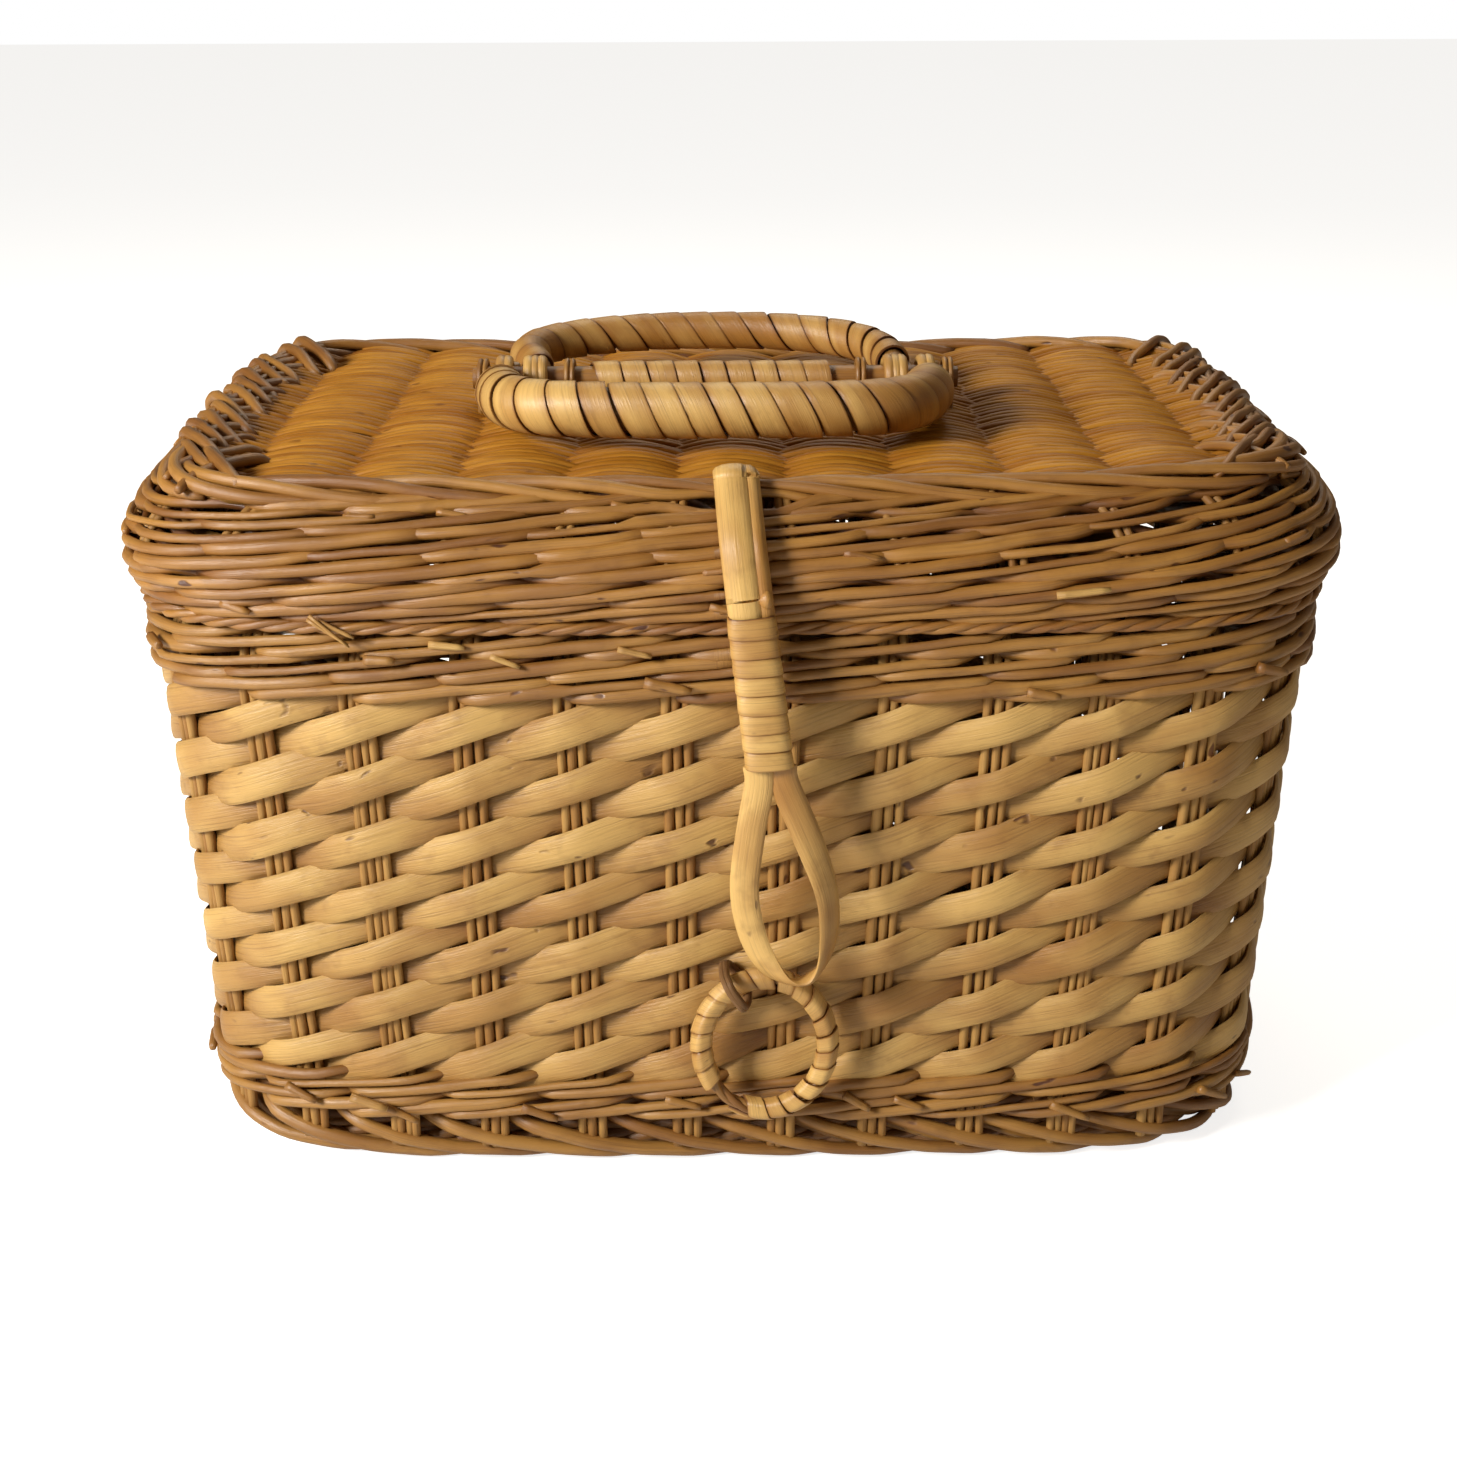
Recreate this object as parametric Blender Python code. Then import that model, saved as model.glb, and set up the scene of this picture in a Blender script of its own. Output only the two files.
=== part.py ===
# A lidded willow basket with a rounded oblong plan, built from its separate rods and splits.
# The basket's front faces -Y and its lid opens upwards from the front; lengths are in metres.
import math

import bmesh
import bpy
from mathutils import Vector

for old_object in list(bpy.data.objects):
    bpy.data.objects.remove(old_object, do_unlink=True)

# Plan of the basket, a squared oval with evenly spaced groups of stakes
STAKE_GROUPS = 34
STATIONS = 2 * STAKE_GROUPS
SQUARENESS = 5.5
PLAN_STEPS = 1440
LENGTH_OVER_DEPTH = 0.062
WALL_TOP_HALF = 0.1840
GAP = 0.0003
SHARP_ANGLE = math.radians(50)

# Foot and base
FOOT_HEIGHT = 0.020
WALL_BOTTOM_HALF = WALL_TOP_HALF - 0.0067
FOOT_BOTTOM_HALF = WALL_BOTTOM_HALF - 0.0088
FOOT_WAIST_HALF = WALL_BOTTOM_HALF - 0.0033
FOOT_WAIST_HEIGHT = 0.0065
FOOT_INNER_HALF = WALL_BOTTOM_HALF - 0.0173
BASE_TOP_DROP = 0.0015
BASE_THICKNESS = 0.0055
BASE_STICKS = 5
BASE_STICK_RADIUS = 0.0024
BASE_STICK_PITCH = 2 * (FOOT_INNER_HALF - LENGTH_OVER_DEPTH) / (BASE_STICKS + 1)
BASE_STICK_END_GAP = 0.0008

# Body wall: slanted floats over stakes over inner strands, with more floats inside
STRAND_THICKNESS = 0.0018
STRAND_CROWN = 0.0004
STRAND_GAP = 0.0004
STAKE_THICKNESS = 0.0030
STAKE_FACE_WIDTH = 0.0030
STAKE_FACE_GAP = 0.0009
STAKE_BACK_WIDTH = 0.0080
STAKE_BACK_GAP = 0.0013
INNER_THICKNESS = 0.0012
INNER_FLOAT_THICKNESS = 0.0014
INNER_FLOAT_RISE = 0.0008
INNER_VALLEY_THICKNESS = 0.0006
UPSET_ROWS = 2
UPSET_ROW_HEIGHT = 0.0078
UPSET_STAND_OUT = 0.0010
OUTER_ROWS = 7
INNER_PAIRS = 4
WEAVE_HEIGHT = 0.1309
WEAVE_RISE = WEAVE_HEIGHT / (2 * OUTER_ROWS - 0.7)
FIRST_FLOAT_SHARE = 0.2
FLOAT_SPACE = 0.0008
FLOAT_SHARES = [(0.06, 1.0), (0.34, 0.1), (0.66, 0.1), (0.94, 1.0)]
LEDGE_ROWS = 2
LEDGE_ROW_HEIGHT = 0.0101
LEDGE_STAND_OUT = 0.0030
NECK_HEIGHT = 0.0250
NECK_HALF = WALL_TOP_HALF - 0.0049
RIM_HEIGHT = 0.0060

# Lid: a cap that passes over the neck and rests on the ledge
LID_BORDER_RADIUS = 0.0023
LID_BORDER_HALF = WALL_TOP_HALF
LID_ROD_THICKNESS = 0.0022
LID_INNER_THICKNESS = 0.0018
LID_LAYER_GAP = 0.0007
LID_FOOT_HALF = LID_BORDER_HALF + 0.0016
LID_BULGE_HALF = LID_FOOT_HALF + 0.0044
LID_BULGE_RISE = 0.0103
LID_SHOULDER_HALF = LID_BULGE_HALF - 0.0024
LID_SHOULDER_RISE = 0.0213
LID_TOP_HALF = LID_SHOULDER_HALF - 0.0121
LID_WALL_HEIGHT = 0.0323
LID_TOP_BORDER_RADIUS = 0.0032
LID_TOP_BORDER_INSET = 0.0052
LID_PANEL_THICKNESS = 0.0032
LID_PANEL_LIFT = 0.0014
LID_RIB_HEIGHT = 0.0021
LID_RIB_SHARES = [(0.0, 0.0), (0.24, 0.3), (0.5, 1.0), (0.76, 0.3)]
LID_STICKS = 9
LID_STICK_RADIUS = 0.0021
LID_STICK_PITCH = 0.0325
LID_STICK_SETBACK = 0.0020

# Willow rings that hinge the lid at the back
HINGE_SPREAD_GROUPS = 2
HINGE_RING_CLEARANCE = 0.00055
HINGE_RING_THICKNESS = 0.0018
HINGE_RING_WIDTH = 0.0070
NOTCH_CLEARANCE = 0.0006

# Handles: two wrapped bails on one bar that is tied to the lid
HANDLE_X = -0.005
HANDLE_Y = -0.0024
BAR_RADIUS = 0.0040
BAR_HALF_LENGTH = 0.0810
BAR_WRAP_HALF_LENGTH = 0.0430
EYE_CLEARANCE = 0.0006
EYE_THICKNESS = 0.0034
EYE_WIDTH = 0.0090
EYE_LIFT = 0.0004
FRONT_EYE_X = 0.0702
REAR_EYE_X = 0.0600
FRONT_REACH = 0.0665
REAR_REACH = 0.0620
BAIL_TILT = math.radians(3.6)
BAIL_END_RADIUS = 0.0036
FRONT_CORE_RADIUS = 0.0063
REAR_CORE_RADIUS = 0.0043
BAIL_TAPER_LENGTH = 0.024
WRAP_THICKNESS = 0.0011
WRAP_LIFT = 0.0005
BAIL_WRAP_LIFT = 0.0011
WRAP_SPACE = 0.0010
FRONT_WRAP_TURNS = 20
REAR_WRAP_TURNS = 17
BAR_WRAP_TURNS = 9
TIE_RADIUS = 0.0012
TIE_CLEARANCE = 0.0005
TIE_INNER_X = 0.0485
TIE_OUTER_X = 0.0775
FRONT_BAIL_SHARES = [(1.0, 0.09), (0.995, 0.22), (0.975, 0.46), (0.90, 0.74),
                     (0.74, 0.91), (0.48, 0.98), (0.22, 1.0)]
REAR_BAIL_SHARES = [(1.0, 0.09), (1.01, 0.22), (0.98, 0.45), (0.88, 0.68),
                    (0.68, 0.86), (0.38, 0.97), (0.15, 1.0)]

# Clasp strap: one rod folded over the lid's front border, bound, then open as a loop
STRAP_X = 0.0020
STRAP_LEAN = math.radians(6.8)
STRAP_WIDTH = 0.0120
STRAP_THICKNESS = 0.0054
STRAP_EYE_CLEARANCE = 0.0008
STRAP_EYE_THICKNESS = 0.0024
STRAP_EYE_WIDTH = 0.0130
STRAP_STAND_OFF = 0.0010
STRAP_FALL = 0.0018
STRAP_WRAP_DROP = 0.0024
STRAP_WRAP_LENGTH = 0.0490
STRAP_WRAP_TURNS = 7
LOOP_LENGTH = 0.0662
LOOP_HALF_WIDTH = 0.0124
LOOP_ROD_WIDTH = 0.0064
LOOP_ROD_THICKNESS = 0.0042
LOOP_OVERLAP = 0.0020
LOOP_SHARES = [(0.285, 0.01), (0.33, 0.07), (0.66, 0.27), (0.97, 0.52), (0.98, 0.70),
               (0.80, 0.86), (0.45, 0.965), (0.0, 1.0)]

# Clasp ring, tied to the basket's front
RING_X = 0.0100
RING_CENTRE_HEIGHT = 0.0525
RING_HALF_WIDTH = 0.0197
RING_HALF_HEIGHT = 0.0235
RING_CORE_RADIUS = 0.0029
RING_STAND_OFF = 0.0011
RING_SEGMENTS = 24
RING_SIDES = 5
RING_WRAP_TURNS = 17
RING_WRAP_START = math.radians(240)
RING_WRAP_SWEEP = math.radians(338)
RING_AXIS_DROP = 0.0006
RING_TIE_ANGLE = math.radians(117)
RING_TIE_RADIUS = 0.0077
RING_TIE_DEPTH = 0.0096
RING_TIE_FORWARD = 0.0016

# Colours
PALE_WILLOW = (0.60, 0.41, 0.20, 1.0)
HONEY_WILLOW = (0.52, 0.32, 0.13, 1.0)
AMBER_WILLOW = (0.46, 0.27, 0.10, 1.0)
BROWN_WILLOW = (0.22, 0.12, 0.06, 1.0)
ROUGHNESS = 0.55

# Heights that follow from the sizes
UPSET_Z = FOOT_HEIGHT + GAP
WEAVE_Z = UPSET_Z + UPSET_ROWS * UPSET_ROW_HEIGHT
LEDGE_Z = WEAVE_Z + WEAVE_HEIGHT
LEDGE_TOP_Z = LEDGE_Z + LEDGE_ROWS * LEDGE_ROW_HEIGHT
NECK_TOP_Z = LEDGE_TOP_Z + NECK_HEIGHT
LID_AXIS_Z = LEDGE_TOP_Z + GAP + LID_BORDER_RADIUS
LID_WALL_Z = LID_AXIS_Z + LID_BORDER_RADIUS + GAP
LID_WALL_TOP_Z = LID_WALL_Z + LID_WALL_HEIGHT
LID_TOP_BORDER_Z = LID_WALL_TOP_Z + GAP + LID_TOP_BORDER_RADIUS
LID_PANEL_Z = LID_WALL_TOP_Z + LID_PANEL_LIFT
LID_PANEL_TOP_Z = LID_PANEL_Z + LID_PANEL_THICKNESS
EYE_INNER_RADIUS = BAR_RADIUS + EYE_CLEARANCE
EYE_OUTER_RADIUS = EYE_INNER_RADIUS + EYE_THICKNESS
BAR_Z = LID_PANEL_TOP_Z + EYE_OUTER_RADIUS + EYE_LIFT
STAKE_INSET = STRAND_THICKNESS + STAKE_FACE_GAP
INNER_INSET = STAKE_INSET + STAKE_THICKNESS + STAKE_BACK_GAP

# Places along Y, measured from the middle of the plan
LID_AXIS_Y = LID_BORDER_HALF - LENGTH_OVER_DEPTH
STRAP_AXIS_HALF = LID_TOP_HALF - LID_TOP_BORDER_INSET
STRAP_AXIS_Y = LENGTH_OVER_DEPTH - STRAP_AXIS_HALF
WRAP_BUILD = WRAP_LIFT + WRAP_THICKNESS
STRAP_WRAP_Y = (LENGTH_OVER_DEPTH - LID_BULGE_HALF - STRAP_STAND_OFF
                - STRAP_THICKNESS / 2 - WRAP_BUILD)
FRONT_FACE_Y = STRAP_WRAP_Y - STRAP_FALL - STRAP_THICKNESS / 2 - WRAP_BUILD
BACK_FACE_Y = LID_BULGE_HALF - LENGTH_OVER_DEPTH
CENTRE_Y = -(FRONT_FACE_Y + BACK_FACE_Y) / 2

LID_AXIS = Vector((0, LID_AXIS_Y, LID_AXIS_Z))
HANDLE_AXIS = Vector((HANDLE_X, HANDLE_Y, BAR_Z))
STRAP_AXIS = Vector((STRAP_X, STRAP_AXIS_Y, LID_TOP_BORDER_Z))

frame_empty = bpy.data.objects.new("basket_middle", None)
bpy.context.collection.objects.link(frame_empty)
frame_empty.location = (0, CENTRE_Y, 0)


def wall_half(height):
    # Half length of the wall's outer face at a height
    if height <= LEDGE_Z:
        share = (height - FOOT_HEIGHT) / (LEDGE_Z - FOOT_HEIGHT)
        return WALL_BOTTOM_HALF + share * (WALL_TOP_HALF - WALL_BOTTOM_HALF)
    share = (height - LEDGE_Z) / (NECK_TOP_Z - LEDGE_Z)
    return WALL_TOP_HALF + share * (NECK_HALF - WALL_TOP_HALF)


def power(value, exponent):
    return math.copysign(abs(value) ** exponent, value)


def plan_points(half_length, places):
    # Points at given shares of the way round, from the front's middle towards +X
    half_depth = half_length - LENGTH_OVER_DEPTH
    curve = []
    for step in range(PLAN_STEPS + 1):
        angle = 2 * math.pi * step / PLAN_STEPS - math.pi / 2
        x = half_length * power(math.cos(angle), 2 / SQUARENESS)
        y = half_depth * power(math.sin(angle), 2 / SQUARENESS)
        curve.append(Vector((x, y)))
    lengths = [0.0]
    for start, end in zip(curve, curve[1:]):
        lengths.append(lengths[-1] + (end - start).length)
    found = []
    index = 0
    for place in sorted(places):
        target = place * lengths[-1]
        while index < PLAN_STEPS - 1 and lengths[index + 1] < target:
            index += 1
        share = (target - lengths[index]) / (lengths[index + 1] - lengths[index])
        found.append(curve[index].lerp(curve[index + 1], share))
    return found


def plan_reach(half_length, distance, along_y):
    # How far the plan reaches along one axis at a distance along the other
    half_depth = half_length - LENGTH_OVER_DEPTH
    near, far = (half_depth, half_length) if along_y else (half_length, half_depth)
    return far * (1 - abs(distance / near) ** SQUARENESS) ** (1 / SQUARENESS)


def add_object(name, points, faces, colour, pivot=Vector((0, 0, 0)), guide=False):
    # A named object with its own material and its origin at the pivot
    mesh = bpy.data.meshes.new(name)
    mesh.from_pydata([Vector(point) - pivot for point in points], [], faces)
    shape = bmesh.new()
    shape.from_mesh(mesh)
    bmesh.ops.recalc_face_normals(shape, faces=shape.faces)
    shape.to_mesh(mesh)
    shape.free()
    mesh.shade_smooth()
    mesh.set_sharp_from_angle(angle=SHARP_ANGLE)
    piece = bpy.data.objects.new(name, mesh)
    bpy.context.collection.objects.link(piece)
    piece.parent = frame_empty
    piece.location = pivot
    if guide:
        piece.hide_render = True
        piece.display_type = "WIRE"
        return piece
    material = bpy.data.materials.new(name + "_finish")
    material.use_nodes = True
    shader = material.node_tree.nodes["Principled BSDF"]
    shader.inputs["Base Color"].default_value = colour
    shader.inputs["Roughness"].default_value = ROUGHNESS
    shader.inputs["Metallic"].default_value = 0
    mesh.materials.append(material)
    return piece


def combine(piece, other, operation):
    # A Boolean with the exact solver, kept as a modifier
    modifier = piece.modifiers.new(operation.lower() + "_" + other.name, "BOOLEAN")
    modifier.operation = operation
    modifier.solver = "EXACT"
    modifier.object = other


def skin_loops(loops, closed):
    # Faces between loops of equal length, with end caps when the row is open
    count = len(loops[0])
    faces = []
    rows = len(loops)
    for row in range(rows if closed else rows - 1):
        following = (row + 1) % rows
        for column in range(count):
            beside = (column + 1) % count
            faces.append((row * count + column, row * count + beside,
                          following * count + beside, following * count + column))
    if not closed:
        faces.append(tuple(range(count)))
        faces.append(tuple(range((rows - 1) * count, rows * count)))
    points = [point for loop in loops for point in loop]
    return points, faces


def plan_ring(name, profile, colour, pivot=Vector((0, 0, 0)), waves=()):
    # A ring round the plan; its section is a list of half lengths and heights
    places = [station / STATIONS for station in range(STATIONS)]
    columns = []
    for number, (half_length, height) in enumerate(profile):
        high = plan_points(half_length, places)
        wave = waves[number] if number < len(waves) else 0
        low = plan_points(half_length - wave, places) if wave else high
        columns.append([(low[k] if k % 2 == 0 else high[k]).to_3d() + Vector((0, 0, height))
                        for k in range(STATIONS)])
    loops = [[column[k] for column in columns] for k in range(STATIONS)]
    points, faces = skin_loops(loops, True)
    return add_object(name, points, faces, colour, pivot)


def round_profile(half_length, height, radius, sides=6):
    # A section with a corner at its top and bottom
    return [(half_length + radius * math.cos(math.pi / 2 + 2 * math.pi * k / sides),
             height + radius * math.sin(math.pi / 2 + 2 * math.pi * k / sides))
            for k in range(sides)]


def rod(name, start, end, radius, colour, pivot=Vector((0, 0, 0)), sides=8, guide=False):
    # A straight round rod
    start, end = Vector(start), Vector(end)
    along = (end - start).normalized()
    across = along.orthogonal().normalized()
    other = along.cross(across)
    loops = []
    for centre in (start, end):
        loops.append([centre + radius * (math.cos(2 * math.pi * k / sides) * across
                                         + math.sin(2 * math.pi * k / sides) * other)
                      for k in range(sides)])
    points, faces = skin_loops(loops, False)
    return add_object(name, points, faces, colour, pivot, guide)


def washer(name, centre, inner, outer, width, colour, pivot=Vector((0, 0, 0)), sides=12,
           guide=False):
    # A flat ring round an axis along X
    loops = []
    for k in range(sides):
        angle = 2 * math.pi * (k + 0.5) / sides
        outward = Vector((0, math.cos(angle), math.sin(angle)))
        loops.append([centre + outward * radius + Vector((x, 0, 0))
                      for radius, x in ((inner, -width / 2), (outer, -width / 2),
                                        (outer, width / 2), (inner, width / 2))])
    points, faces = skin_loops(loops, True)
    return add_object(name, points, faces, colour, pivot, guide)


def smooth_path(controls, steps, closed=False):
    # Points along a curve that passes through every control point
    count = len(controls)
    path = []
    for k in range(count if closed else count - 1):
        if closed:
            p0, p1, p2, p3 = (controls[(k + shift) % count] for shift in (-1, 0, 1, 2))
        else:
            p0 = controls[max(k - 1, 0)]
            p1 = controls[k]
            p2 = controls[k + 1]
            p3 = controls[min(k + 2, count - 1)]
        for step in range(steps):
            t = step / steps
            path.append(0.5 * (2 * p1 + (p2 - p0) * t
                               + (2 * p0 - 5 * p1 + 4 * p2 - p3) * t * t
                               + (3 * p1 - p0 - 3 * p2 + p3) * t * t * t))
    if not closed:
        path.append(controls[-1].copy())
    return path


def path_tangent(path, index, closed):
    if closed:
        return (path[(index + 1) % len(path)] - path[index - 1]).normalized()
    ahead = path[min(index + 1, len(path) - 1)]
    return (ahead - path[max(index - 1, 0)]).normalized()


def tube(name, path, binormal, section, colour, pivot, closed=False, scale=None, guide=False):
    # A section swept along a flat path; the section's first axis lies in the path's plane
    loops = []
    for index, point in enumerate(path):
        across = binormal.cross(path_tangent(path, index, closed)).normalized()
        size = scale(index) if scale else 1.0
        loops.append([point + size * (u * across + v * binormal) for u, v in section])
    points, faces = skin_loops(loops, closed)
    return add_object(name, points, faces, colour, pivot, guide)


def polygon(half_u, half_v, sides):
    return [(half_u * math.cos(2 * math.pi * k / sides), half_v * math.sin(2 * math.pi * k / sides))
            for k in range(sides)]


def measure(path):
    lengths = [0.0]
    for start, end in zip(path, path[1:]):
        lengths.append(lengths[-1] + (end - start).length)
    return lengths


def frame_at(path, lengths, distance, binormal):
    # Point and in-plane side direction at a distance along an open path
    index = 0
    while index < len(lengths) - 2 and lengths[index + 1] < distance:
        index += 1
    share = (distance - lengths[index]) / (lengths[index + 1] - lengths[index])
    tangent = path_tangent(path, index, False).lerp(path_tangent(path, index + 1, False), share)
    return path[index].lerp(path[index + 1], share), binormal.cross(tangent).normalized()


def winding(name, path, binormal, radii_at, turns, colour, pivot, sides=6,
            lift_off=WRAP_LIFT):
    # One unbroken strip wound round a path, with a space between its turns
    lengths = measure(path)
    pitch = lengths[-1] / (turns + 1)
    strip = pitch - WRAP_SPACE
    stations = turns * sides
    rows = []
    for k in range(stations + 1):
        middle = pitch / 2 + pitch * k / sides
        angle = 2 * math.pi * (k % sides) / sides
        loop = []
        for edge, lift in ((-1, 0), (1, 0), (1, 1), (-1, 1)):
            distance = middle + edge * strip / 2
            centre, across = frame_at(path, lengths, distance, binormal)
            half_u, half_v = radii_at(middle / lengths[-1])
            grow = lift_off + lift * WRAP_THICKNESS
            loop.append(centre + (half_u + grow) * math.cos(angle) * across
                        + (half_v + grow) * math.sin(angle) * binormal)
        rows.append(loop)
    least = min((rows[k + sides][0] - rows[k][1]).length for k in range(len(rows) - sides))
    print(name, "least gap between turns", round(least * 1000, 2), "mm")
    points, faces = skin_loops(rows, False)
    return add_object(name, points, faces, colour, pivot)


def rod_of_plan(name, first_group, group_count):
    # Stakes of one side, joined by their tops, which are laid over along the rim
    groups = list(range(first_group, first_group + group_count))
    rail_z = NECK_TOP_Z - RIM_HEIGHT
    heights = [UPSET_Z, LEDGE_Z, rail_z, NECK_TOP_Z]
    points = []
    index_of = {}
    for level, height in enumerate(heights):
        outer = wall_half(height) - STAKE_INSET
        for side, half_length, width in ((0, outer, STAKE_FACE_WIDTH),
                                         (1, outer - STAKE_THICKNESS, STAKE_BACK_WIDTH)):
            around = plan_points(half_length, [k / STATIONS for k in range(STATIONS)])
            perimeter = sum((around[k] - around[k - 1]).length for k in range(STATIONS))
            places = []
            for group in groups:
                middle = (group + 0.5) / STAKE_GROUPS
                places += [middle - width / 2 / perimeter, middle + width / 2 / perimeter]
            for column, place in enumerate(places):
                spot = plan_points(half_length, [place % 1.0])[0]
                index_of[level, side, column] = len(points)
                points.append(spot.to_3d() + Vector((0, 0, height)))

    def filled(level, column):
        inside = 0 <= level < len(heights) - 1 and 0 <= column < 2 * group_count - 1
        return inside and (level == len(heights) - 2 or column % 2 == 0)

    def corners(level, column, side):
        return (index_of[level, side, column], index_of[level, side, column + 1],
                index_of[level + 1, side, column + 1], index_of[level + 1, side, column])

    faces = []
    for level in range(len(heights) - 1):
        for column in range(2 * group_count - 1):
            if not filled(level, column):
                continue
            front, back = corners(level, column, 0), corners(level, column, 1)
            faces += [front, back]
            beside = ((level - 1, column), (level, column + 1), (level + 1, column),
                      (level, column - 1))
            for edge, (near_level, near_column) in enumerate(beside):
                if not filled(near_level, near_column):
                    after = (edge + 1) % 4
                    faces.append((front[edge], front[after], back[after], back[edge]))
    return add_object(name, points, faces, PALE_WILLOW)


def build_base():
    plan_ring("foot_border", [(FOOT_INNER_HALF, 0), (FOOT_BOTTOM_HALF, 0),
                              (FOOT_WAIST_HALF, FOOT_WAIST_HEIGHT),
                              (WALL_BOTTOM_HALF, FOOT_HEIGHT),
                              (FOOT_INNER_HALF, FOOT_HEIGHT)], HONEY_WILLOW)
    top = FOOT_HEIGHT - BASE_TOP_DROP
    places = [station / STATIONS for station in range(STATIONS)]
    edge = plan_points(FOOT_INNER_HALF - GAP, places)
    loops = [[point.to_3d() + Vector((0, 0, height)) for point in edge]
             for height in (top - BASE_THICKNESS, top)]
    points, faces = skin_loops(loops, False)
    add_object("base_panel", points, faces, PALE_WILLOW)
    stick_z = top - BASE_THICKNESS - GAP - BASE_STICK_RADIUS
    for number in range(BASE_STICKS):
        y = (number - (BASE_STICKS - 1) / 2) * BASE_STICK_PITCH
        reach = (plan_reach(FOOT_INNER_HALF, abs(y) + BASE_STICK_RADIUS, True)
                 - BASE_STICK_END_GAP)
        rod("base_stick_%d" % (number + 1), (-reach, y, stick_z), (reach, y, stick_z),
            BASE_STICK_RADIUS, HONEY_WILLOW)


def row_profile(low, high, stand_out, thickness_inset):
    # A row with a flat back and a crowned face
    middle = (low + high) / 2
    return [(wall_half(low) - thickness_inset, low), (wall_half(middle) + stand_out, middle),
            (wall_half(high) - thickness_inset, high)]


def float_middle(number):
    # Outer rows have even numbers and inner rows odd ones
    return WEAVE_Z + (number + FIRST_FLOAT_SHARE) * WEAVE_RISE


def float_height():
    # Two rows keep their space where their slanted floats meet
    return WEAVE_RISE * (2 - FLOAT_SHARES[-1][0] + FLOAT_SHARES[0][0]) - FLOAT_SPACE


def outer_floats(name, middle):
    # A ring of slanted floats that lie over the stakes and dip between them
    loops = {}
    for share, dip in FLOAT_SHARES:
        centre = middle + WEAVE_RISE * (share - 0.5)
        low = max(centre - float_height() / 2, WEAVE_Z)
        high = min(centre + float_height() / 2, LEDGE_Z - STRAND_GAP)
        inward = dip * STAKE_THICKNESS
        profile = row_profile(low, high, STRAND_CROWN - inward, STRAND_THICKNESS + inward)
        places = [(group + share) / STAKE_GROUPS for group in range(STAKE_GROUPS)]
        rings = [plan_points(half_length, places) for half_length, height in profile]
        for group in range(STAKE_GROUPS):
            loops[group, share] = [ring[group].to_3d() + Vector((0, 0, height))
                                   for ring, (half_length, height) in zip(rings, profile)]
    points, faces = skin_loops([loops[key] for key in sorted(loops)], True)
    return add_object(name, points, faces, PALE_WILLOW)


def inner_floats(name, low_middle, high_middle):
    # Two rows in one ring inside the inner strands, thickest behind the stakes
    back = INNER_INSET + INNER_THICKNESS + GAP
    crest = back + INNER_FLOAT_THICKNESS
    section = [(back, low_middle - float_height() / 2), (crest, low_middle),
               (back + INNER_VALLEY_THICKNESS, (low_middle + high_middle) / 2),
               (crest, high_middle), (back, high_middle + float_height() / 2)]
    profile = [(wall_half(height) - inset, height) for inset, height in section]
    return plan_ring(name, profile, PALE_WILLOW,
                     waves=(0, -INNER_FLOAT_RISE, 0, -INNER_FLOAT_RISE, 0))


def build_wall():
    inner = [(wall_half(height) - INNER_INSET, height)
             for height in (UPSET_Z, LEDGE_Z, NECK_TOP_Z)]
    inside = [(half - INNER_THICKNESS, height) for half, height in reversed(inner)]
    plan_ring("inner_strands", inner + inside, PALE_WILLOW)
    sides = (("front_stakes", -5, 10), ("right_stakes", 5, 7),
             ("back_stakes", 12, 10), ("left_stakes", 22, 7))
    for name, first_group, group_count in sides:
        rod_of_plan(name, first_group, group_count)
    for number in range(UPSET_ROWS):
        low = UPSET_Z + number * UPSET_ROW_HEIGHT
        plan_ring("upset_wale_%d" % (number + 1),
                  row_profile(low, low + UPSET_ROW_HEIGHT - STRAND_GAP, UPSET_STAND_OUT,
                              STRAND_THICKNESS), HONEY_WILLOW)
    rows = []
    for number in range(OUTER_ROWS):
        middle = float_middle(2 * number)
        rows.append((outer_floats("weave_row_%02d" % (number + 1), middle), middle))
    for number in range(INNER_PAIRS):
        inner_floats("weave_row_%02d" % (OUTER_ROWS + number + 1), float_middle(4 * number - 1),
                     float_middle(4 * number + 1))
    ledge = []
    for number in range(LEDGE_ROWS):
        low = LEDGE_Z + number * LEDGE_ROW_HEIGHT
        high = low + LEDGE_ROW_HEIGHT - (0 if number == LEDGE_ROWS - 1 else STRAND_GAP)
        out = WALL_TOP_HALF + LEDGE_STAND_OUT
        back = STRAND_THICKNESS
        if number < LEDGE_ROWS - 1:
            face = [(out, (low + high) / 2)]
        else:
            face = [(out, low), (out, high)]
        profile = [(wall_half(low) - back, low)] + face + [(wall_half(high) - back, high)]
        ledge.append(plan_ring("ledge_wale_%d" % (number + 1), profile, HONEY_WILLOW))
    return rows, ledge


def lid_levels():
    return [(LID_FOOT_HALF, LID_WALL_Z), (LID_BULGE_HALF, LID_WALL_Z + LID_BULGE_RISE),
            (LID_SHOULDER_HALF, LID_WALL_Z + LID_SHOULDER_RISE),
            (LID_TOP_HALF, LID_WALL_TOP_Z)]


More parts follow.
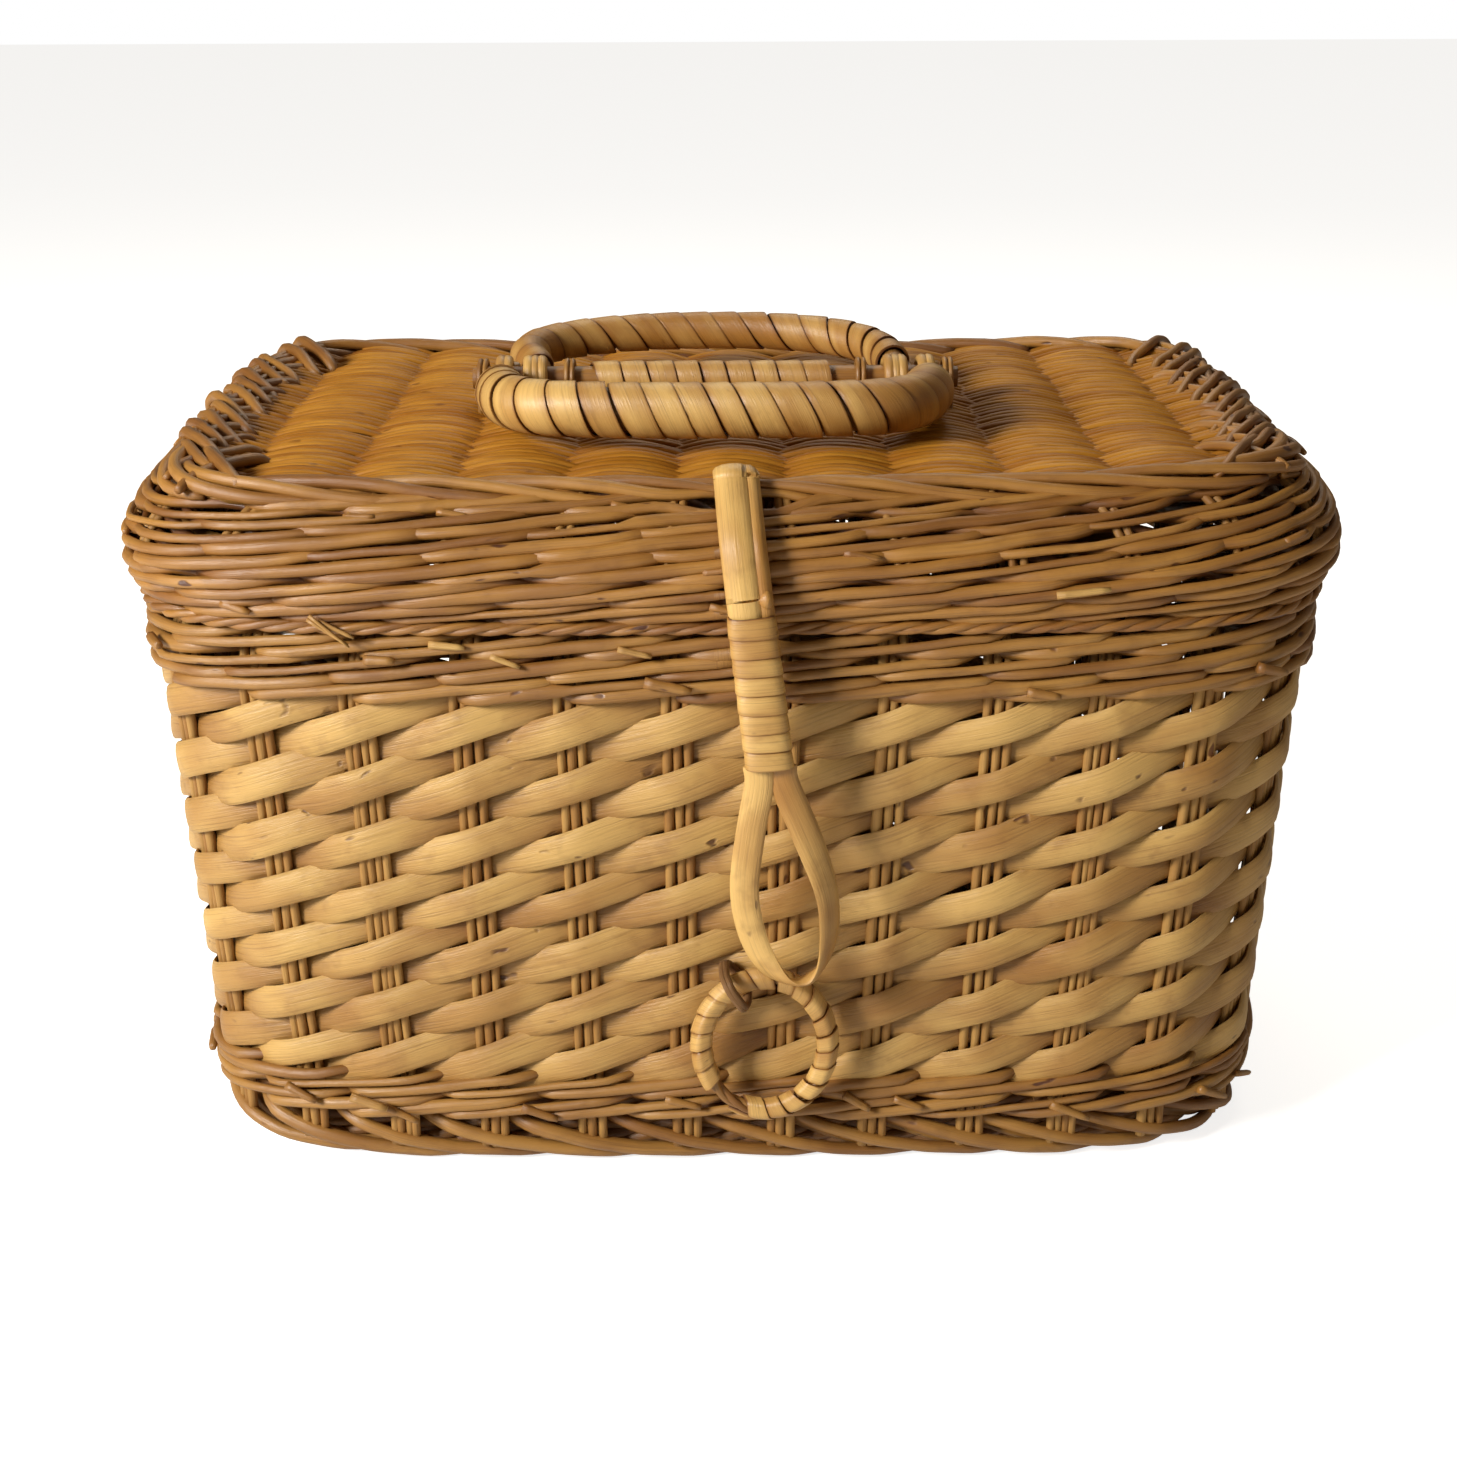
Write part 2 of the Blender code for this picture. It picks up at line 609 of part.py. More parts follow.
def cut_ribs(panel):
    # Leaves a rib over every stick and a shallow valley between two sticks
    outline = []
    for number in range(-2, LID_STICKS + 1):
        for share, drop in LID_RIB_SHARES:
            x = (number + share - (LID_STICKS - 1) / 2) * LID_STICK_PITCH
            outline.append((x, LID_PANEL_TOP_Z - drop * LID_RIB_HEIGHT))
    above = LID_PANEL_TOP_Z + 2 * LID_RIB_HEIGHT
    outline += [(outline[-1][0], above), (outline[0][0], above)]
    loops = [[Vector((x, side * LID_BULGE_HALF, z)) for x, z in outline] for side in (-1, 1)]
    points, faces = skin_loops(loops, False)
    cutter = add_object("rib_cutter", points, faces, AMBER_WILLOW, guide=True)
    combine(panel, cutter, "DIFFERENCE")


def build_lid():
    plan_ring("lid_bottom_border",
              round_profile(LID_BORDER_HALF, LID_AXIS_Z, LID_BORDER_RADIUS, 4),
              HONEY_WILLOW, LID_AXIS)
    levels = lid_levels()
    outer = [(half - LID_ROD_THICKNESS - LID_LAYER_GAP, height) for half, height in levels]
    inner = [(half - LID_INNER_THICKNESS, height) for half, height in reversed(outer)]
    wall = plan_ring("lid_inner_wall", outer + inner, HONEY_WILLOW, LID_AXIS)
    wales = []
    for number in range(len(levels) - 1):
        (low_half, low), (high_half, high) = levels[number], levels[number + 1]
        high -= STRAND_GAP if number < len(levels) - 2 else 0
        profile = [(low_half - LID_ROD_THICKNESS, low), (low_half, low), (high_half, high),
                   (high_half - LID_ROD_THICKNESS, high)]
        wales.append(plan_ring("lid_side_wale_%d" % (number + 1), profile, HONEY_WILLOW,
                               LID_AXIS))
    plan_ring("lid_top_border",
              round_profile(STRAP_AXIS_HALF, LID_TOP_BORDER_Z, LID_TOP_BORDER_RADIUS),
              HONEY_WILLOW, LID_AXIS)
    places = [station / STATIONS for station in range(STATIONS)]
    panel_half = STRAP_AXIS_HALF - LID_TOP_BORDER_RADIUS * math.cos(math.pi / 6) - GAP
    edge = plan_points(panel_half, places)
    loops = [[point.to_3d() + Vector((0, 0, height)) for point in edge]
             for height in (LID_PANEL_Z, LID_PANEL_TOP_Z + LID_RIB_HEIGHT)]
    points, faces = skin_loops(loops, False)
    panel = add_object("lid_top_panel", points, faces, AMBER_WILLOW, LID_AXIS)
    cut_ribs(panel)
    stick_z = LID_PANEL_Z - GAP - LID_STICK_RADIUS
    by_strap = []
    for number in range(LID_STICKS):
        x = (number - (LID_STICKS - 1) / 2) * LID_STICK_PITCH
        reach = (plan_reach(STRAP_AXIS_HALF, abs(x) + LID_STICK_RADIUS, False)
                 - LID_STICK_SETBACK)
        stick = rod("lid_stick_%d" % (number + 1), (x, -reach, stick_z), (x, reach, stick_z),
                    LID_STICK_RADIUS, AMBER_WILLOW, LID_AXIS)
        if abs(x - STRAP_X) < STRAP_EYE_WIDTH / 2 + NOTCH_CLEARANCE + LID_STICK_RADIUS:
            by_strap.append(stick)
    return wall, wales, panel, by_strap


def build_hinges(ledge, wall, wales):
    # Each ring passes through the ledge and round the lid's lowest rod
    inner = LID_BORDER_RADIUS + HINGE_RING_CLEARANCE
    outer = inner + HINGE_RING_THICKNESS
    middle = LID_BORDER_HALF
    for name, sign in (("left_hinge_ring", -1), ("right_hinge_ring", 1)):
        place = (0.5 + sign * HINGE_SPREAD_GROUPS / STAKE_GROUPS)
        x = plan_points(middle, [place])[0].x
        centre = Vector((x, LID_AXIS_Y, LID_AXIS_Z))
        washer(name, centre, inner, outer, HINGE_RING_WIDTH, BROWN_WILLOW)
        reach = HINGE_RING_WIDTH / 2 + NOTCH_CLEARANCE
        start, end = centre - Vector((reach, 0, 0)), centre + Vector((reach, 0, 0))
        cutter = rod(name + "_notch", start, end, outer + NOTCH_CLEARANCE, BROWN_WILLOW,
                     sides=12, guide=True)
        for piece in (ledge[-1], wall, wales[0]):
            combine(piece, cutter, "DIFFERENCE")


def bail_path(shares, eye_x, reach, direction):
    # The bail's centre line, from its left eye round to its right eye
    half = []
    for across_share, reach_share in shares:
        distance = reach * reach_share
        half.append(Vector((eye_x * across_share, direction * distance * math.cos(BAIL_TILT),
                            distance * math.sin(BAIL_TILT))))
    whole = [Vector((-point.x, point.y, point.z)) for point in half] + half[::-1]
    return [HANDLE_AXIS + point for point in smooth_path(whole, 2)]


def build_bail(name, shares, eye_x, reach, direction, core_radius, turns):
    path = bail_path(shares, eye_x, reach, direction)
    lengths = measure(path)
    binormal = Vector((0, -direction * math.sin(BAIL_TILT), math.cos(BAIL_TILT)))

    def radius_at(share):
        distance = min(share, 1 - share) * lengths[-1]
        grown = min(distance / BAIL_TAPER_LENGTH, 1.0)
        return BAIL_END_RADIUS + grown * (core_radius - BAIL_END_RADIUS)

    core = tube(name + "_core", path, binormal, polygon(1, 1, 6), AMBER_WILLOW, HANDLE_AXIS,
                scale=lambda index: radius_at(lengths[index] / lengths[-1]))
    for side, sign in (("left", -1), ("right", 1)):
        centre = HANDLE_AXIS + Vector((sign * eye_x, 0, 0))
        eye = washer(name + "_" + side + "_eye", centre, EYE_INNER_RADIUS, EYE_OUTER_RADIUS,
                     EYE_WIDTH, AMBER_WILLOW, guide=True)
        combine(core, eye, "UNION")
    clear = EYE_OUTER_RADIUS - (path[0] - HANDLE_AXIS - Vector((-eye_x, 0, 0))).length
    first = next(k for k in range(len(path)) if lengths[k] > clear)
    inner_path = path[first:len(path) - first]
    offset = lengths[first] / lengths[-1]
    winding(name + "_wrap", inner_path, binormal,
            lambda share: (radius_at(offset + share * (1 - 2 * offset)),) * 2,
            turns, PALE_WILLOW, HANDLE_AXIS, lift_off=BAIL_WRAP_LIFT)


def build_handles(panel):
    left = HANDLE_AXIS - Vector((BAR_HALF_LENGTH, 0, 0))
    right = HANDLE_AXIS + Vector((BAR_HALF_LENGTH, 0, 0))
    rod("handle_bar", left, right, BAR_RADIUS, AMBER_WILLOW, LID_AXIS, sides=12)
    steps = 12
    path = [HANDLE_AXIS + Vector((BAR_WRAP_HALF_LENGTH * (2 * k / steps - 1), 0, 0))
            for k in range(steps + 1)]
    winding("handle_bar_wrap", path, Vector((0, 0, 1)), lambda share: (BAR_RADIUS, BAR_RADIUS),
            BAR_WRAP_TURNS, PALE_WILLOW, LID_AXIS)
    build_bail("front_handle", FRONT_BAIL_SHARES, FRONT_EYE_X, FRONT_REACH, -1,
               FRONT_CORE_RADIUS, FRONT_WRAP_TURNS)
    build_bail("rear_handle", REAR_BAIL_SHARES, REAR_EYE_X, REAR_REACH, 1,
               REAR_CORE_RADIUS, REAR_WRAP_TURNS)
    bend = BAR_RADIUS + TIE_CLEARANCE + TIE_RADIUS
    low = LID_PANEL_Z - GAP - TIE_RADIUS - BAR_Z
    outline = [(bend * math.cos(math.pi * k / 6), bend * math.sin(math.pi * k / 6))
               for k in range(7)]
    outline += [(-bend, low + TIE_RADIUS), (-bend + TIE_RADIUS, low), (bend - TIE_RADIUS, low),
                (bend, low + TIE_RADIUS)]
    for number, x in enumerate((-TIE_OUTER_X, -TIE_INNER_X, TIE_INNER_X, TIE_OUTER_X)):
        centre = HANDLE_AXIS + Vector((x, 0, 0))
        path = [centre + Vector((0, y, z)) for y, z in outline]
        tube("handle_tie_%d" % (number + 1), path, Vector((1, 0, 0)),
             polygon(TIE_RADIUS, TIE_RADIUS, 4), BROWN_WILLOW, LID_AXIS, closed=True)
        for side in (-1, 1):
            leg = centre + Vector((0, side * bend, 0))
            top = Vector((leg.x, leg.y, LID_PANEL_TOP_Z + LID_PANEL_THICKNESS))
            bottom = Vector((leg.x, leg.y, LID_PANEL_Z - LID_PANEL_THICKNESS))
            hole = rod("tie_hole_%d_%d" % (number, side), bottom, top,
                       TIE_RADIUS + NOTCH_CLEARANCE, BROWN_WILLOW, sides=4, guide=True)
            combine(panel, hole, "DIFFERENCE")


def lean(point):
    # Swings a point of the strap sideways about its axis, by the strap's lean
    offset = point - STRAP_AXIS
    return point - Vector((offset.z * math.tan(STRAP_LEAN), 0, 0))


def build_strap(wall, wales, panel, sticks):
    levels = lid_levels()
    shoulder_half, shoulder_z = levels[2]
    bulge_z = levels[1][1]
    eye_inner = LID_TOP_BORDER_RADIUS + STRAP_EYE_CLEARANCE
    eye_outer = eye_inner + STRAP_EYE_THICKNESS
    eye_middle = (eye_inner + eye_outer) / 2
    wrap_top = bulge_z - STRAP_WRAP_DROP
    wrap_end = wrap_top - STRAP_WRAP_LENGTH
    standing = STRAP_THICKNESS / 2 + STRAP_STAND_OFF
    controls = [
        STRAP_AXIS + Vector((0, -eye_middle, 0)),
        Vector((STRAP_X, LENGTH_OVER_DEPTH - shoulder_half - standing,
                shoulder_z + standing)),
        Vector((STRAP_X, STRAP_WRAP_Y, bulge_z)),
        Vector((STRAP_X, STRAP_WRAP_Y, wrap_top)),
        Vector((STRAP_X, STRAP_WRAP_Y - STRAP_FALL, wrap_end - LOOP_OVERLAP)),
    ]
    sideways = Vector((1, 0, 0))
    path = [lean(point) for point in smooth_path(controls, 3)]
    section = polygon(STRAP_THICKNESS / 2, STRAP_WIDTH / 2, 6)
    strap = tube("clasp_strap_rod", path, sideways, section, PALE_WILLOW, STRAP_AXIS)
    eye = washer("clasp_strap_eye", STRAP_AXIS.copy(), eye_inner, eye_outer, STRAP_EYE_WIDTH,
                 PALE_WILLOW, guide=True)
    combine(strap, eye, "UNION")
    half = [Vector((LOOP_HALF_WIDTH * across, STRAP_WRAP_Y - STRAP_FALL,
                    wrap_end - LOOP_LENGTH * down))
            for across, down in LOOP_SHARES]
    whole = half + [Vector((-point.x, point.y, point.z)) for point in half[-2::-1]]
    for point in whole:
        point.x += STRAP_X
    loop_path = [lean(point) for point in smooth_path(whole, 2)]
    section = [(LOOP_ROD_WIDTH / 2 * u, LOOP_ROD_THICKNESS / 2 * v)
               for u, v in ((1, 0.6), (0, 1), (-1, 0.6), (-1, -0.6), (0, -1), (1, -0.6))]
    loop = tube("clasp_strap_loop", loop_path, Vector((0, 1, 0)), section, PALE_WILLOW,
                STRAP_AXIS, guide=True)
    combine(strap, loop, "UNION")
    straight = [lean(Vector((STRAP_X, STRAP_WRAP_Y - STRAP_FALL * k / 8,
                             wrap_top - STRAP_WRAP_LENGTH * k / 8))) for k in range(9)]
    winding("clasp_strap_wrap", straight, sideways,
            lambda share: (STRAP_THICKNESS / 2, STRAP_WIDTH / 2), STRAP_WRAP_TURNS,
            PALE_WILLOW, STRAP_AXIS)
    reach = STRAP_EYE_WIDTH / 2 + NOTCH_CLEARANCE
    cutter = rod("strap_notch", STRAP_AXIS - Vector((reach, 0, 0)),
                 STRAP_AXIS + Vector((reach, 0, 0)), eye_outer + NOTCH_CLEARANCE,
                 BROWN_WILLOW, sides=12, guide=True)
    for piece in [wall, wales[-1], panel] + sticks:
        combine(piece, cutter, "DIFFERENCE")


def build_ring(rows):
    top_z = RING_CENTRE_HEIGHT + RING_HALF_HEIGHT
    band = RING_CORE_RADIUS + WRAP_BUILD
    wall_y = LENGTH_OVER_DEPTH - wall_half(top_z + band) - STRAND_CROWN
    ring_y = wall_y - RING_STAND_OFF - band
    axis = Vector((RING_X, ring_y, top_z - RING_AXIS_DROP))
    forward = Vector((0, 1, 0))

    def around(angle):
        return Vector((RING_X + RING_HALF_WIDTH * math.cos(angle), ring_y,
                       RING_CENTRE_HEIGHT + RING_HALF_HEIGHT * math.sin(angle)))

    path = [around(2 * math.pi * k / RING_SEGMENTS) for k in range(RING_SEGMENTS)]
    section = polygon(RING_CORE_RADIUS, RING_CORE_RADIUS, RING_SIDES)
    tube("clasp_ring_core", path, forward, section, HONEY_WILLOW, axis, closed=True)
    steps = 4 * RING_SEGMENTS
    wrap_path = [around(RING_WRAP_START + RING_WRAP_SWEEP * k / steps) for k in range(steps + 1)]
    winding("clasp_ring_wrap", wrap_path, forward,
            lambda share: (RING_CORE_RADIUS, RING_CORE_RADIUS), RING_WRAP_TURNS, PALE_WILLOW,
            axis, RING_SIDES)
    held = around(RING_TIE_ANGLE)
    outward = (held - Vector((RING_X, ring_y, RING_CENTRE_HEIGHT))).normalized()
    centre = Vector((held.x, ring_y - RING_TIE_FORWARD, (held.z + axis.z) / 2))
    circle = [centre + RING_TIE_RADIUS * math.cos(2 * math.pi * k / 14) * outward
              + RING_TIE_DEPTH * math.sin(2 * math.pi * k / 14) * forward
              for k in range(14)]
    side = outward.cross(forward)
    tube("clasp_ring_tie", circle, side, polygon(TIE_RADIUS, TIE_RADIUS, 4), BROWN_WILLOW,
         Vector((0, 0, 0)), closed=True)
    room = TIE_RADIUS + GAP
    cutter = tube("ring_tie_hole", circle, side, polygon(room, room, 4), BROWN_WILLOW,
                  Vector((0, 0, 0)), closed=True, guide=True)
    for row, middle in rows:
        if abs(middle - centre.z) < RING_TIE_RADIUS + room + WEAVE_RISE:
            combine(row, cutter, "DIFFERENCE")


build_base()
weave_rows, ledge_rows = build_wall()
lid_wall, lid_wales, lid_panel, lid_sticks = build_lid()
build_hinges(ledge_rows, lid_wall, lid_wales)
build_handles(lid_panel)
build_strap(lid_wall, lid_wales, lid_panel, lid_sticks)
build_ring(weave_rows)
bpy.context.view_layer.update()
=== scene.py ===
import math

import bpy
import numpy as np
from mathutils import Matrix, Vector


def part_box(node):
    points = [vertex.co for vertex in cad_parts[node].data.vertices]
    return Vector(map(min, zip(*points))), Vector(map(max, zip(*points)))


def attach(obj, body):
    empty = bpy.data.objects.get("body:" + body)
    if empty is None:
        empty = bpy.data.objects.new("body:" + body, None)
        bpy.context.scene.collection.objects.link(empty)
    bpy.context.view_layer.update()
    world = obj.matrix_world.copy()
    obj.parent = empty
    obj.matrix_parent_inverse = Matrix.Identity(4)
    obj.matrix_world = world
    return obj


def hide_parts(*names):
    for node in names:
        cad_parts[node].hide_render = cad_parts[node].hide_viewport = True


# A lidded willow basket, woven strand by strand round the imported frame, in metres
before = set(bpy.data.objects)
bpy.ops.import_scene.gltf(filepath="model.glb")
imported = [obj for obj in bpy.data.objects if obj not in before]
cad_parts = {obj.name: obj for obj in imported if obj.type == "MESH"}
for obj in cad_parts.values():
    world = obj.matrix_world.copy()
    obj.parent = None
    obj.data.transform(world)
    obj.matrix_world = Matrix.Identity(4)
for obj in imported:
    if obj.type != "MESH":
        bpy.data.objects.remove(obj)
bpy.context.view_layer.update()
print("frame loaded with", len(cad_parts), "nodes")

# Plan and profiles
plan = {"groups": 34, "squareness": 5.5, "lengthOverDepth": 0.062, "centreY": 0.0057,
        "wayRound": 1.12}
levels = {
    "foot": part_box("foot_border")[1].z,
    "upset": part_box("upset_wale_1")[0].z,
    "weave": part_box("weave_row_01")[0].z,
    "ledge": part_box("ledge_wale_1")[0].z,
    "ledgeTop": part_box("ledge_wale_2")[1].z,
    "neckTop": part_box("inner_strands")[1].z,
    "lidFoot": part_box("lid_inner_wall")[0].z,
    "lidTop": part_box("lid_inner_wall")[1].z,
}
halfSizes = {"wallBottom": 0.1773, "wallTop": 0.1840, "neck": 0.1791, "topBorder": 0.1703}


def soft(value, low, high):
    t = np.clip((value - low) / (high - low), 0, 1)
    return t * t * (3 - 2 * t)


def signedPower(values, exponent):
    return np.sign(values) * np.abs(values) ** exponent


def makePlanTable():
    # The plan's outline for many half lengths, evenly spaced along its way round
    halves = np.linspace(0.130, 0.205, 76)
    angle = np.linspace(-math.pi / 2, 1.5 * math.pi, 2881)
    share = np.linspace(0, 1, 1025)
    rows = []
    for half in halves:
        x = half * signedPower(np.cos(angle), 2 / plan["squareness"])
        y = (half - plan["lengthOverDepth"]) * signedPower(np.sin(angle), 2 / plan["squareness"])
        along = np.concatenate([[0], np.cumsum(np.hypot(np.diff(x), np.diff(y)))])
        rows.append(np.stack([np.interp(share * along[-1], along, x),
                              np.interp(share * along[-1], along, y)], axis=1))
    return halves, np.array(rows)


planHalves, planTable = makePlanTable()


def planPoint(share, half):
    # Points of the plan; share 0 is the front's middle and it runs towards +X
    share, half = np.broadcast_arrays(np.asarray(share, float), np.asarray(half, float))
    row = (half - planHalves[0]) / (planHalves[1] - planHalves[0])
    row = np.clip(row, 0, len(planHalves) - 1.001)
    low = row.astype(int)
    up = (row - low)[:, None]
    column = (share % 1.0) * 1024
    left = np.clip(column.astype(int), 0, 1023)
    right = (column - left)[:, None]
    near = planTable[low, left] * (1 - right) + planTable[low, left + 1] * right
    far = planTable[low + 1, left] * (1 - right) + planTable[low + 1, left + 1] * right
    spot = near * (1 - up) + far * up
    return spot + np.array([0, plan["centreY"]])


def planOutward(share, half):
    step = 0.004
    ahead, behind = planPoint(share + step, half), planPoint(share - step, half)
    run = ahead - behind
    out = np.stack([run[:, 1], -run[:, 0]], axis=1)
    return out / np.linalg.norm(out, axis=1)[:, None]


def onPlan(share, half, height):
    # Points and outward directions in space
    share, half, height = np.broadcast_arrays(share, half, height)
    spots = np.column_stack([planPoint(share, half), height])
    out = np.column_stack([planOutward(share, half), np.zeros(len(share))])
    return spots, out


def planReach(half, distance, alongY):
    depth = half - plan["lengthOverDepth"]
    near, far = (depth, half) if alongY else (half, depth)
    ratio = min(abs(distance) / near, 1.0)
    return far * (1 - ratio ** plan["squareness"]) ** (1 / plan["squareness"])


def wallHalf(height):
    return np.interp(height, [levels["foot"], levels["ledge"], levels["neckTop"]],
                     [halfSizes["wallBottom"], halfSizes["wallTop"], halfSizes["neck"]])


lidProfile = {"heights": [0.1880, 0.1922, 0.1960, 0.2000, 0.2035, 0.2080, 0.2135, 0.2185, 0.2235,
                          0.2290],
              "halves": [0.1838, 0.1858, 0.1880, 0.1896, 0.1901, 0.1896, 0.1875, 0.1835, 0.1772,
                         0.1700]}


def lidHalf(height):
    return np.interp(height, lidProfile["heights"], lidProfile["halves"])


def lidSag(x, y):
    # How far the lid's top drops: its back edge hangs in the middle, its corners stand up
    across = np.clip(np.abs(x) / 0.160, 0, 1)
    back = np.clip((y - 0.035) / 0.085, 0, 1)
    lifted = soft(x, 0.070, 0.172) * soft(-y, 0.030, 0.105)
    return (-0.0048 * back ** 1.3 * (1 - across ** 2) + 0.0006 * across ** 2
            + 0.0046 * lifted)


# Strands
def drift(count, turns, size, rng):
    # A smooth wandering along a strand, the same at both ends
    t = np.linspace(0, 2 * math.pi, count)
    total = np.zeros(count)
    for k, weight in ((1, 0.6), (2, 0.35), (3.0, 0.25)):
        cycles = max(int(round(turns * k * rng.uniform(0.75, 1.25))), 1)
        total += weight * np.sin(cycles * t + rng.uniform(0, 2 * math.pi))
    return size * total


def ovalSection(sides, flat=0.0):
    # A round section; flat presses its inner side in
    angle = 2 * math.pi * np.arange(sides) / sides
    side, up = np.cos(angle), np.sin(angle)
    return np.column_stack([side, np.where(up < 0, up * (1 - flat), up)])


def splitSection():
    # Half of a split rod: crowned outside, nearly flat inside, thin edges
    return np.array([(-1, 0.0), (-0.93, -0.42), (-0.5, -0.62), (0.5, -0.62), (0.93, -0.42),
                     (1, 0.0), (0.86, 0.52), (0.48, 0.90), (0, 1.0), (-0.48, 0.90),
                     (-0.86, 0.52)])


def newBundle():
    return {"points": [], "quads": [], "caps": [], "quadUv": [], "capUv": [], "tone": [],
            "count": 0}


def addStrand(bundle, path, outward, halfWidth, halfThick, section, tone, closed=False,
              startSeed=0.0, pointy=(0.0, 0.0)):
    # Sweeps a section along a path; tone is one row of (tint, seed, shade) for each point
    path = np.asarray(path, float)
    count, sides = len(path), len(section)
    if closed:
        run = np.roll(path, -1, axis=0) - np.roll(path, 1, axis=0)
    else:
        run = np.gradient(path, axis=0)
    run /= np.maximum(np.linalg.norm(run, axis=1), 1e-12)[:, None]
    side = np.cross(run, outward)
    side /= np.maximum(np.linalg.norm(side, axis=1), 1e-12)[:, None]
    normal = np.cross(side, run)
    width = np.broadcast_to(halfWidth, count).astype(float).copy()
    thick = np.broadcast_to(halfThick, count).astype(float).copy()
    for end, amount in ((0, pointy[0]), (-1, pointy[1])):
        if amount:
            width[end] *= 1 - amount
            thick[end] *= 1 - amount
    points = (path[:, None, :] + side[:, None, :] * (width[:, None] * section[:, 0])[..., None]
              + normal[:, None, :] * (thick[:, None] * section[:, 1])[..., None])
    base = bundle["count"]
    rings = count if closed else count - 1
    i = np.repeat(np.arange(rings), sides)
    j = np.tile(np.arange(sides), rings)
    after, beside = (i + 1) % count, (j + 1) % sides
    quads = base + np.column_stack([i * sides + j, after * sides + j, after * sides + beside,
                                    i * sides + beside])
    steps = np.linalg.norm(np.diff(path, axis=0, append=path[:1]), axis=1)
    along = np.concatenate([[0], np.cumsum(steps)]) + startSeed
    edge = np.linalg.norm(np.diff(section, axis=0, append=section[:1]), axis=1)
    around = np.concatenate([[0], np.cumsum(edge)]) * float(width.mean() + thick.mean()) / 2
    uv = np.stack([np.stack([along[i], around[j]], 1), np.stack([along[i + 1], around[j]], 1),
                   np.stack([along[i + 1], around[j + 1]], 1),
                   np.stack([along[i], around[j + 1]], 1)], axis=1)
    bundle["points"].append(points.reshape(-1, 3))
    bundle["quads"].append(quads)
    bundle["quadUv"].append(uv.reshape(-1, 2))
    tone = np.broadcast_to(np.asarray(tone, float), (count, 3))
    bundle["tone"].append(np.repeat(tone, sides, axis=0))
    if not closed:
        bundle["caps"].append(base + np.arange(sides))
        bundle["caps"].append(base + (count - 1) * sides + np.arange(sides)[::-1])
        disc = section * 0.0008
        bundle["capUv"] += [disc + startSeed, disc[::-1] + startSeed]
    bundle["count"] += count * sides


def toneRow(rng, count, tint=0.5, spread=0.22, shade=0.0):
    value = float(np.clip(rng.normal(tint, spread), 0, 1))
    return np.column_stack([np.full(count, value), np.full(count, rng.uniform()),
                            np.broadcast_to(shade, count)])


def finishBundle(bundle, name, material, body, nodes, sharpAngle=50):
    points = np.concatenate(bundle["points"])
    quads = np.concatenate(bundle["quads"])
    mesh = bpy.data.meshes.new(name)
    mesh.vertices.add(len(points))
    mesh.vertices.foreach_set("co", points.ravel())
    corners = [quads.ravel()] + bundle["caps"]
    starts = list(range(0, len(quads) * 4, 4))
    at = len(quads) * 4
    for cap in bundle["caps"]:
        starts.append(at)
        at += len(cap)
    mesh.loops.add(at)
    mesh.loops.foreach_set("vertex_index", np.concatenate(corners).astype(np.int32))
    mesh.polygons.add(len(starts))
    mesh.polygons.foreach_set("loop_start", np.array(starts, np.int32))
    mesh.update(calc_edges=True)
    uvLayer = mesh.uv_layers.new(name="UVMap")
    uvs = np.concatenate(bundle["quadUv"] + bundle["capUv"])
    uvLayer.data.foreach_set("uv", uvs.ravel())
    colour = mesh.color_attributes.new("tone", "FLOAT_COLOR", "POINT")
    tones = np.concatenate(bundle["tone"])
    colour.data.foreach_set("color", np.column_stack([tones, np.ones(len(tones))]).ravel())
    mesh.shade_smooth()
    if sharpAngle:
        mesh.set_sharp_from_angle(angle=math.radians(sharpAngle))
    piece = bpy.data.objects.new(name, mesh)
    bpy.context.scene.collection.objects.link(piece)
    mesh.materials.append(material)
    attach(piece, body)
    if nodes:
        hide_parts(*nodes)
    print(name, len(points), "points")
    return piece


# Finishes
def addSocket(group, name, kind, direction, value=None):
    socket = group.interface.new_socket(name=name, in_out=direction, socket_type=kind)
    if value is not None:
        socket.default_value = value
    return socket


